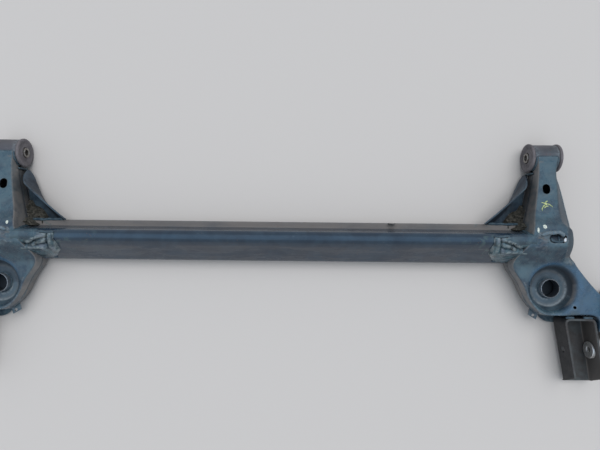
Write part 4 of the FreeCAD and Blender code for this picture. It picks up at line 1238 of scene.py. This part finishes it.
# ---------------------------------------------------------------- bush
def bush_eye():
    """The tube on the arm's end that the bush is pressed into."""
    half, outer, bore = EYE.size.x / 2, EYE_R, EYE_R - EYE_WALL
    eye = lathe("bush_eye_skin", [
        (bore, -half + 0.8), (bore + 0.8, -half), (outer - 1.0, -half), (outer, -half + 1.0),
        (outer - 0.1, -half / 3), (outer, half / 3), (outer, half - 1.0), (outer - 1.0, half),
        (bore + 0.8, half), (bore, half - 0.8)], EYE.mid, 96, along_x=True, closed_profile=True)
    return pair(eye, BODY, EYE_COAT, "axle_paint", "bush_eye")


def bush_rubber():
    """The bush's rubber with its flanges and the ring moulded into them."""
    bore = EYE_R - EYE_WALL
    end, lip, hole = RUBBER.size.x / 2, RUBBER.size.y / 2, SLEEVE.size.y / 2 + 0.05
    side = [(hole, end - 2.2), (hole + 1.6, end - 0.6), (hole + 3.0, end - 0.9), (hole + 5.2, end - 2.6),
            (hole + 8.6, end - 3.0), (hole + 11.6, end - 1.4), (hole + 13.4, end - 0.2), (lip - 2.2, end),
            (lip - 0.6, end - 0.7), (lip, end - 2.2), (lip - 0.2, end - 4.4), (lip - 1.2, end - 5.7),
            (bore - 1.6, end - 6.0)]
    rubber_body = lathe("bush_rubber_skin", [(r, -h) for r, h in side] + side[::-1], EYE.mid, 96,
                        along_x=True, closed_profile=True)
    return pair(rubber_body, BODY, RUBBER_SKIN, "bush_rubber", "bush_rubber", angle=50.0)


def bush_sleeve():
    """The bush's inner sleeve with chamfered ends."""
    long, thick = SLEEVE.size.x / 2, SLEEVE.size.y / 2
    sleeve = lathe("bush_inner_sleeve_skin", [
        (BOLT_R, -long + 0.7), (BOLT_R + 0.7, -long), (thick - 0.9, -long), (thick, -long + 0.9),
        (thick, long - 0.9), (thick - 0.9, long), (BOLT_R + 0.7, long), (BOLT_R, long - 0.7)],
        EYE.mid, 72, along_x=True, closed_profile=True)
    return pair(sleeve, CORE, SLEEVE_STEEL, "bare_steel", "bush_inner_sleeve")


# ---------------------------------------------------------------- spring seat
def spring_cup():
    """The drawn cup that the spring stands in."""
    floor = CUP.low.z + 3.0
    inner = [(47.5, 16.5), (45.6, 15.2), (43.8, 12), (41.8, 8), (39.4, 4.2), (36.8, 1.6), (33.8, 0.3),
             (30.5, 0.2), (27.0, 0.9), (24.0, 0.7), (21.5, 0.1), (19.7, 0.4)]
    outer = [(19.7, -2.6), (36, -3), (40, -2.2), (44.5, 1.2), (46.4, 8), (47.8, 13.5)]
    profile = [(radius, floor + height) for radius, height in inner + outer]
    cup = lathe("spring_cup_skin", profile, (CX, CY, 0.0), 96, closed_profile=True)

    # painted shade on the cup's wall and on the inboard-front side of its floor
    def shaded_wall(co, normal):
        reach, bearing = around_seat(co)
        wall = 0.8 * clamp((co.z / MM - floor - 1.5) / 5) * (normal.y < 0.3)
        return max(wall, 0.4 * float(np.interp(bearing, [0, 120, 160], [1, 1, 0])) * (reach < 40))

    def scuffed_by_spring(co, _):
        reach, bearing = around_seat(co)
        edge = float(np.interp(bearing, [150, 190, 300, 330], [0.35, 1, 1, 0.35]))
        rim = math.exp(-(((reach - 36.5) / 1.2) ** 2)) * edge
        return max(rim, math.exp(-(((reach - 24.5) / 1.5) ** 2)) * (270 < bearing < 355))

    marked(cup, shaded_wall)
    marked(cup, scuffed_by_spring, "scuffed")
    return pair(cup, BODY, CUP_COAT, "axle_paint", "spring_cup", angle=45.0)


def spring_spigot():
    """The tube that centres the spring, with a rolled rim."""
    outer_r, low, top = SPIGOT.size.x / 2, SPIGOT.low.z, SPIGOT.high.z
    inner_r = outer_r - 1.8
    tube = lathe("spring_spigot_skin", [
        (outer_r, low + 0.4), (outer_r, top - 3.0), (outer_r - 0.05, top - 1.2), (outer_r - 0.5, top - 0.3),
        (outer_r - 1.1, top), (inner_r + 0.25, top - 0.5), (inner_r, top - 1.6), (inner_r, low + 0.4),
        (inner_r + 0.4, low), (outer_r - 0.4, low)], (CX, CY, 0.0), 80, closed_profile=True)
    # painted shade inside the tube
    marked(tube, lambda co, normal: around_seat(co)[0] < inner_r + 0.1)
    return pair(tube, BODY, RIM_STEEL, "bare_steel", "spring_spigot", angle=40.0)


# ---------------------------------------------------------------- damper bracket
BRACKET_WALL = 4.0
BRACKET_PLAN = [  # from the inboard wall's rear end round the front to the outboard wall's rear end
    (BRACKET.low.x + 25, BRACKET.low.y), (BRACKET.low.x, BRACKET.high.y), (BRACKET.high.x - 22, BRACKET.high.y),
    (BRACKET.high.x, BRACKET.low.y),
]
BRACKET_CREASE = [  # the stiffening crease pressed into its floor
    (BRACKET.low.x + 25, BRACKET.high.y - 8), (BRACKET.low.x + 30, BRACKET.high.y - 40),
    (BRACKET.low.x + 38, BRACKET.high.y - 72), (BRACKET.low.x + 40, BRACKET.high.y - 104),
    (BRACKET.low.x + 48, BRACKET.high.y - 124),
]
DAMPER = (BRACKET.low.y + 70.0, 34.0)  # the damper bolt's Y and Z


def rounded_corners(corners, radius, step=3.0):
    """An open polyline with its inner corners rounded, as evenly spaced points."""
    points = [Vector(corners[0])]
    for before, at, after in zip(corners, corners[1:], corners[2:]):
        before, at, after = Vector(before), Vector(at), Vector(after)
        back, ahead = (before - at).normalized(), (after - at).normalized()
        reach = radius / math.tan(back.angle(ahead) / 2)
        first, last = at + back * reach, at + ahead * reach
        points += [bend(first, at, last, k / 8) for k in range(9)]
    points.append(Vector(corners[-1]))
    dense = [points[0]]
    for a, b in zip(points, points[1:]):
        count = max(1, round((b - a).length / step))
        dense += [a.lerp(b, (k + 1) / count) for k in range(count)]
    return dense


def bracket_rim(y):
    """Height of the channel's wall, which slopes down at the open rear end."""
    return float(np.interp(y, [BRACKET.low.y, BRACKET.low.y + 18], [14.0, BRACKET.high.z]))


def bracket_inward(path, k):
    """The level direction from a point of the channel's plan into the channel."""
    before, after = path[max(0, k - 1)], path[min(len(path) - 1, k + 1)]
    along = (after - before).normalized()
    inward = Vector((along.y, -along.x))
    if inward.dot(Vector((BRACKET.mid.x + 3, BRACKET.mid.y)) - path[k]) < 0:
        inward = -inward
    if k in (0, len(path) - 1):
        inward.y = 0.0
    return Vector((inward.x, inward.y, 0.0))


def bracket_rings(low):
    """Rings down the channel's wall and round its folded corner, from a floor at height low."""
    path = rounded_corners(BRACKET_PLAN, 12.0)
    columns = []
    for k, at in enumerate(path):
        inward, top = bracket_inward(path, k), bracket_rim(at.y)
        radius = min(8.0, 0.6 * (top - low))
        rim, corner, above = (Vector((at.x, at.y, z)) for z in (top, low, low + radius))
        under = corner + inward * radius
        columns.append(folded(rim, above, corner, under, 6, inward, lambda point: rough(point, 24.0, 0.6)))
    return list(zip(*columns))


def damper_bracket():
    """U channel with folded corners, open at the top and rear."""
    low = BRACKET.low.z
    rings = bracket_rings(low)
    points, faces = ring_surface(rings, closed=False, flip=True)

    def floor_height(x, y):
        crease = ridge_height(x, y, BRACKET_CREASE, 5.0, 2.2)
        return low + crease + max(0.0, rough((x, y, 9.0), 20.0, 0.6))

    # inner face of the outboard wall made lighter with brown: dust, and painted light that lifts it out of its
    # shade; dust on the floor
    def dust_and_light(co, normal):
        outboard_wall_inside = normal.x < -0.5 and co.x > BRACKET.mid.x * MM
        return 0.65 * outboard_wall_inside + 0.25 * (normal.z > 0.6)

    capped(points, faces, rings[-1], floor_height, 5.0, flip=True)
    piece = welded("damper_bracket_skin", points, faces)
    thickened(piece, BRACKET_WALL)
    drilled(piece, BOLT_R, (BRACKET.low.x - 10, *DAMPER), (BRACKET.high.x + 10, *DAMPER))
    edges_rounded(piece, 0.7, 50.0)
    for vertex in piece.data.vertices:
        vertex.co.y = max(vertex.co.y, BRACKET.low.y * MM)
    marked(piece, dust_and_light, "dust_and_light")
    return pair(piece, BODY, BLACK_COAT, "bracket_paint", "damper_bracket", angle=40.0)


def drilled(piece, radius, start, end):
    """The piece with a round hole along X through it."""
    length = end[0] - start[0]
    drill = lathe("drill", [(0.0, 0.0), (radius, 0.0), (radius, length), (0.0, length)], start, 40, along_x=True)
    modified(piece, "BOOLEAN", object=drill, operation="DIFFERENCE", solver="EXACT")
    bpy.data.objects.remove(drill)
    return piece


# ---------------------------------------------------------------- plain parts and the pipe tab
def plain_part(node, rounding, material, slot, angle):
    """A pair that keeps the CAD node's shape, with rounded edges."""
    piece = edges_rounded(cad_copy(f"{node}_{RIGHT}", f"{node}_skin"), rounding)
    return pair(piece, BODY, material, slot, node, angle=angle)


def pipe_tab():
    """The brake pipe tab, in place of its CAD node."""
    pipe = Box("brake_pipe_tab")
    x, half = pipe.mid.x, pipe.size.x / 2
    arc = [(x + half * math.cos(a), pipe.low.z + half + (pipe.size.z - half) * math.sin(a))
           for a in np.linspace(0, math.pi, 13)]
    outline = [(x + half, pipe.low.z)] + arc + [(x - half, pipe.low.z)]
    tab = slab("brake_pipe_tab_skin", outline, pipe.low.y, pipe.high.y, 0.5, upright=True)
    edited(tab, faces_outwards)
    set_edge_masks(tab)
    shaded(tab, 20.0)
    dressed(tab, BEAM_COAT)
    blended(tab, RIGHT, "brake_pipe_tab")


# ---------------------------------------------------------------- welds, spatter, dirt and marks
def run_x(x0, x1, count, y, z):
    """A straight path along X."""
    return [(x, y, z) for x in np.linspace(x0, x1, count)]


def eye_welds():
    """The beads between the arm's pressings and the eye tube."""
    def down(x):
        return [(x, BY - EYE_R * math.sin(a), BZ + EYE_R * math.cos(a)) for a in np.linspace(0.0, 1.35, 14)]

    return [(run_x(BX - 21, BX + 20, 14, BY + 0.5, BZ + EYE_R + 0.6), 1.0),
            (down(BX - 21.5), 2.4), (down(BX + 20.5), 2.4)]


def beam_welds():
    """The beads that hold the saddle, the beam and the gusset together."""
    foot = run_x(SX + 14, BX - 70, 12, SADDLE.low.y + 0.5, SADDLE.low.z - 0.5)
    crest = [(x, SY + 1.5 + rough((x, 0, 0), 9, 1.5), SADDLE.high.z - 2.6) for x in np.linspace(SX, SX + 34, 14)]
    front = [(BX - 42, FRONT - 1, 34), (BX - 43, FRONT - 12, 35), (BX - 44, FRONT - 16, 56),
             (BX - 46, FRONT - 18, 74), (BX - 48, FRONT - 22, 83)]
    return [(foot, 2.4), (crest, 2.8), (front, 3.0),
            (run_x(GUSSET.low.x + 8, BX - 44, 18, FRONT + 0.5, 32.5), 2.6)]


def window_welds():
    """The beads round the spigot and in the weld window over the beam's end."""
    radius = 20.4
    spigot = [(CX + radius * math.cos(a), CY + radius * math.sin(a), CUP.low.z + 3.6)
              for a in np.linspace(0.3, 6.3, 60)]
    window = [(WINDOW[0] + u, WINDOW[1] + v, z) for u, v, z in (
        (-14, 1, 83), (-11, -4, 83.5), (-4, -6.5, 83), (5, -6.8, 82.5), (11, -5.5, 82), (15, 0, 80), (14, 4, 78))]
    window_bar = [(WINDOW[0] + 2, WINDOW[1] + v, 83.5 - 0.2 * v) for v in (-6, -2, 2, 6)]
    return [(spigot, 1.2), (window, 2.6), (window_bar, 1.5)]


def rear_welds():
    """The beads at the hub flange, the bracket's ledge, the gusset's tip and the bracket's front wall."""
    horn = [(FLANGE_FACE - 1.5, y, z) for y, z in horn_section()]
    ledge = run_x(BRACKET.low.x + 2, BRACKET.mid.x + 8, 10, LEDGE_REAR + 12, FLOOR_Z + 3.4)
    gusset_tip = [(BX - 24, BY - 33, z) for z in np.linspace(12, 44, 10)]
    stitches = ((BRACKET.low.x + 4, BRACKET.low.x + 22), (BRACKET.high.x - 46, BRACKET.high.x - 26))
    return [(horn, 3.2), (ledge, 2.4), (gusset_tip, 2.2)] + [
        (run_x(a, b, 8, BRACKET.high.y + 1.5, 57.0), 2.6) for a, b in stitches]


def arm_welds():
    """Every visible weld bead on one arm."""
    seam = [(x, y, SPLIT) for x, y, _, _ in arm_loop()
            if y < REAR - 60 or (y < BY - EYE_R - 1 and x > arm_wall_x(y) + 30)]
    arch = [(x, y, arm_top(x, y) + 0.3) for x, y in smooth_run(ARCH, 1.5, whole=True)]
    runs = eye_welds() + beam_welds() + window_welds() + rear_welds()
    pair(beads("arm_seam_weld", [(seam, 1.0)]), BODY, AXLE, "axle_paint", angle=60.0)
    pair(beads("arm_weld_beads", runs), BODY, WELD, "weld_metal", angle=60.0)
    pair(beads("weld_window_arch", [(arch, 3.4)]), BODY, ARCH_HIGHLIGHT_COAT, "axle_paint", angle=60.0)


def horn_section():
    """The horn's outline at the hub flange, as (y, z) round its edge."""
    low, high = FLOOR_Z + 1, UPPER_REAR_TOP - 1
    corners = [(HORN_REAR + 3, low), (HORN_FRONT - 3, low), (HORN_FRONT, low + 3), (HORN_FRONT, high - 3),
               (HORN_FRONT - 3, high), (HORN_REAR + 3, high), (HORN_REAR, high - 3), (HORN_REAR, low + 3)]
    return corners + corners[:1]


def spatter():
    """Beads of weld spatter around the saddle and on the arm over the beam."""
    random.seed(11)
    mesh = bmesh.new()
    for _ in range(46):
        x, y = random.uniform(BX - 52, CX + 18), random.uniform(REAR + 12, FRONT - 8)
        size = random.uniform(0.35, 0.95)
        at = Vector((x, y, arm_top(x, y) + 0.1 * size)) * MM
        squash = Matrix.Diagonal((1.0, random.uniform(0.8, 1.2), 0.7, 1.0))
        bmesh.ops.create_icosphere(mesh, subdivisions=1, radius=size * MM, matrix=Matrix.Translation(at) @ squash)
    return pair(from_bmesh("weld_spatter", mesh), BODY, WELD, "weld_metal", angle=60.0)


def dirt_height(x, y, u, v):
    """Height of the packed dirt at a place that lies u of the way to the arm and v of the way forwards."""
    spread = 1.55 * u - 0.55 + rough((x, y, 3), 14.0, 0.35)
    slope = max(0.0, 1 - v * (1.8 - 1.0 * u) + rough((x, y, 7), 11.0, 0.25)) * clamp(spread) ** 0.6
    clods = rough((x, y, 0), 10.0, 11.0) + rough((x, y, 5), 4.5, 6.0) + abs(rough((x, y, 9), 1.9, 2.2))
    z = GUSSET.low.z + 1.5 + slope * 44 + clods * min(1.0, 2.5 * slope)
    return max(z, BEAM.low.z + 3.0) if y < FRONT + 1 else z


def dirt_heap():
    """Packed road dirt in the corner between the gusset, the beam's lip and the arm."""
    columns, rows = 60, 56
    y0, y1 = FRONT - 12.0, FRONT + 40
    rings = []
    for j in range(rows):
        v = j / (rows - 1)
        y = y0 + (y1 - y0) * v
        x0, x1 = foot_x(GUSSET_ROWS, y) + 5, arm_wall_x(y) + 1.5
        shares = [i / (columns - 1) for i in range(columns)]
        places = [(x0 + (x1 - x0) * u, u) for u in shares]
        rings.append([(x, y, dirt_height(x, y, u, v)) for x, u in places])
    piece = mesh_object("packed_dirt", *ring_surface(rings, closed=False))
    thickened(piece, 1.0)
    return pair(piece, BODY, DIRT, "road_dirt", angle=60.0)


def brushed_strokes(name, strokes, width, material):
    """Thin paint strokes that lie on the right arm's top face."""
    points, faces = [], []
    for stroke in strokes:
        path = smooth_run(stroke, 0.8, whole=True)
        ahead = np.gradient(path, axis=0)
        ahead /= np.linalg.norm(ahead, axis=1)[:, None] + 1e-9
        base = len(points)
        for k, ((x, y), (dx, dy)) in enumerate(zip(path, ahead)):
            share = k / (len(path) - 1)
            half = 0.5 * width * (0.35 + 0.65 * math.sin(math.pi * min(0.97, share + 0.08)) ** 0.5)
            half *= 1 + 0.5 * rough((x, y, 2), 2.0, 1.0)
            for sign in (-1, 1):
                px, py = x - dy * half * sign, y + dx * half * sign
                points.append((px, py, arm_surface(px, py) + 0.22))
        for k in range(len(path) - 1):
            a = base + 2 * k
            faces.append((a, a + 1, a + 3, a + 2))
    piece = mesh_object(name, points, faces)
    thickened(piece, 0.12, 1.0)
    return own(piece, "right_arm", material)


def daub(name, x, y, wide, long, material, body="right_arm"):
    """A daub of paint with an uneven edge on an arm's top face."""
    points = [(x, y, arm_top(abs(x), y) + 0.42)]
    for ring, share in enumerate((0.5, 0.85, 1.0)):
        for k in range(24):
            a = 2 * math.pi * k / 24
            reach = share * (1 + 0.16 * noise.noise(Vector((math.cos(a) * 1.3, math.sin(a) * 1.3, x))))
            px, py = x + wide / 2 * reach * math.cos(a), y + long / 2 * reach * math.sin(a)
            points.append((px, py, arm_surface(abs(px), py) + (0.38, 0.26, -0.1)[ring]))
    faces = [(0, 1 + k, 1 + (k + 1) % 24) for k in range(24)]
    for ring in range(2):
        faces += strip_faces(1 + 24 * ring, 25 + 24 * ring, 24, True, flip=True)
    return own(mesh_object(name, points, faces), body, material)


def own(piece, body, material):
    """A piece that only one side has."""
    shaded(edited(piece, faces_outwards), 60.0)
    dressed(piece, material)
    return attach(piece, body)


def bare_glint_spot():
    """Weld metal at the window's outboard end, rubbed bright and made pale enough to be a painted glint as well.
    """
    profile = [(0.0, 2.4), (1.6, 2.2), (2.9, 1.3), (3.5, 0.0), (3.2, -1.5), (0.0, -1.8)]
    spot = lathe("rubbed_weld_glint_spot", profile, (0.0, 0.0, 0.0), 24)
    for vertex in spot.data.vertices:
        vertex.co = vertex.co * (1 + 0.25 * noise.noise(vertex.co / (3.0 * MM)))
        vertex.co.y *= 1.5
        vertex.co += Vector((WINDOW[0] + 14.5, WINDOW[1] - 3.0, 84.4)) * MM
    return pair(spot, BODY, BRIGHT_STEEL, "bare_steel", angle=60.0)


def marks():
    """Paint marks from the car breaker's yard: crossed strokes, a dot and a smear; the smear's pale colour is
    also a painted glint.
    """
    x, y = BX - 10.0, BY - 98.0
    strokes = [
        [(x - 9, y + 5), (x - 5, y + 4), (x - 1, y + 2), (x + 1, y - 1)],
        [(x + 3, y + 8), (x - 1, y + 6), (x, y + 2), (x - 5, y - 1), (x - 7, y - 3)],
        [(x - 5, y - 1), (x + 1, y + 2), (x + 6, y + 1), (x + 10, y - 2), (x + 12, y - 4)],
        [(x - 3, y - 1), (x - 7, y - 4), (x - 9, y - 8), (x - 9, y - 12)],
        [(x - 4, y - 6), (x - 1, y - 3), (x + 4, y - 2)],
    ]
    brushed_strokes("marker_strokes", strokes, 1.6, GREEN_MARK)
    daub("marker_dot", BX - 19.6, FRONT - 4, 8.0, 8.5, PALE_MARK)
    daub("marker_dab", -(BX - 28.0), FRONT - 6.5, 5.0, 7.0, PALE_MARK, "left_arm")
    # pale smear: a paint run that is also a painted glint
    daub("pale_smear_and_glint", BX - 33.0, FRONT - 11, 4.5, 11.0, PALE_MARK)


# ---------------------------------------------------------------- camera, light and floor
def lamp(name, kind, energy, colour):
    """A light and the object that holds it."""
    light = bpy.data.lights.new(name, kind)
    light.energy, light.color = energy, colour
    return light, linked(name, light)


CAMERA_AT, CAMERA_TURN = (0.0508, 0.074, 0.994), 0.011  # metres and radians
LENS, SENSOR = 28.0, 36.0


def camera():
    """A level camera that looks straight down."""
    camera = linked("camera", bpy.data.cameras.new("camera"))
    camera.data.lens, camera.data.sensor_width = LENS, SENSOR
    camera.location = CAMERA_AT
    camera.rotation_euler = (0.0, 0.0, CAMERA_TURN)
    bpy.context.scene.camera = camera


def lights():
    """An even pale world, a wide soft sun, and a bluish card that only shows in reflections."""
    world = bpy.data.worlds.new("world")
    bpy.context.scene.world = world
    world.use_nodes = True
    background = world.node_tree.nodes["Background"]
    background.inputs["Color"].default_value = (0.9, 0.95, 1.0, 1.0)
    background.inputs["Strength"].default_value = 0.6

    key, holder = lamp("key", "SUN", 1.55, (1.0, 0.96, 0.92))
    key.angle = math.radians(50.0)
    holder.rotation_euler = Vector((-0.15, -0.45, -1.0)).to_track_quat("-Z", "Y").to_euler()
    holder.visible_glossy = False

    sky, holder = lamp("sky", "AREA", 75.0, (0.38, 0.64, 1.0))
    sky.shape, sky.size, sky.size_y = "RECTANGLE", 8.0, 5.0
    holder.location = (0.0, 0.6, 3.2)
    holder.visible_diffuse = False


def studio():
    bpy.context.scene.view_settings.view_transform = "Standard"
    camera()
    lights()
    reach = 60e3  # far enough that the floor meets the world at its horizon
    corners = [(-reach, -reach, 0), (reach, -reach, 0), (reach, reach, 0), (-reach, reach, 0)]
    floor = mesh_object("floor", corners, [(0, 1, 2, 3)])
    p = Paints("floor_paint")
    floor.data.materials.append(p.finish((0.59, 0.585, 0.59, 1.0), 0.9, Specular_IOR_Level=0.1))


arm_upper_skin()
arm_lower_skin()
gusset_skin()
saddle_plate()
crest_cap()
cross_beam()
torsion_bar()
plain_part("bar_end_plate", 0.7, BAR_COAT, "axle_paint", 14.0)
bush_eye()
bush_rubber()
bush_sleeve()
spring_cup()
spring_spigot()
damper_bracket()
plain_part("damper_boss", 0.8, BRIGHT_STEEL, "bare_steel", 20.0)
plain_part("damper_weld_nut", 0.8, SLEEVE_STEEL, "bare_steel", 20.0)
plain_part("hub_flange", 1.0, FLANGE_COAT, "axle_paint", 14.0)
plain_part("brake_hose_tab", 0.6, AXLE, "axle_paint", 20.0)
pipe_tab()
arm_welds()
spatter()
dirt_heap()
bare_glint_spot()
marks()
studio()
for side in (RIGHT, LEFT):
    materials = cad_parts[f"bush_outer_sleeve_{side}"].data.materials
    materials.clear()
    materials.append(SLEEVE_STEEL)
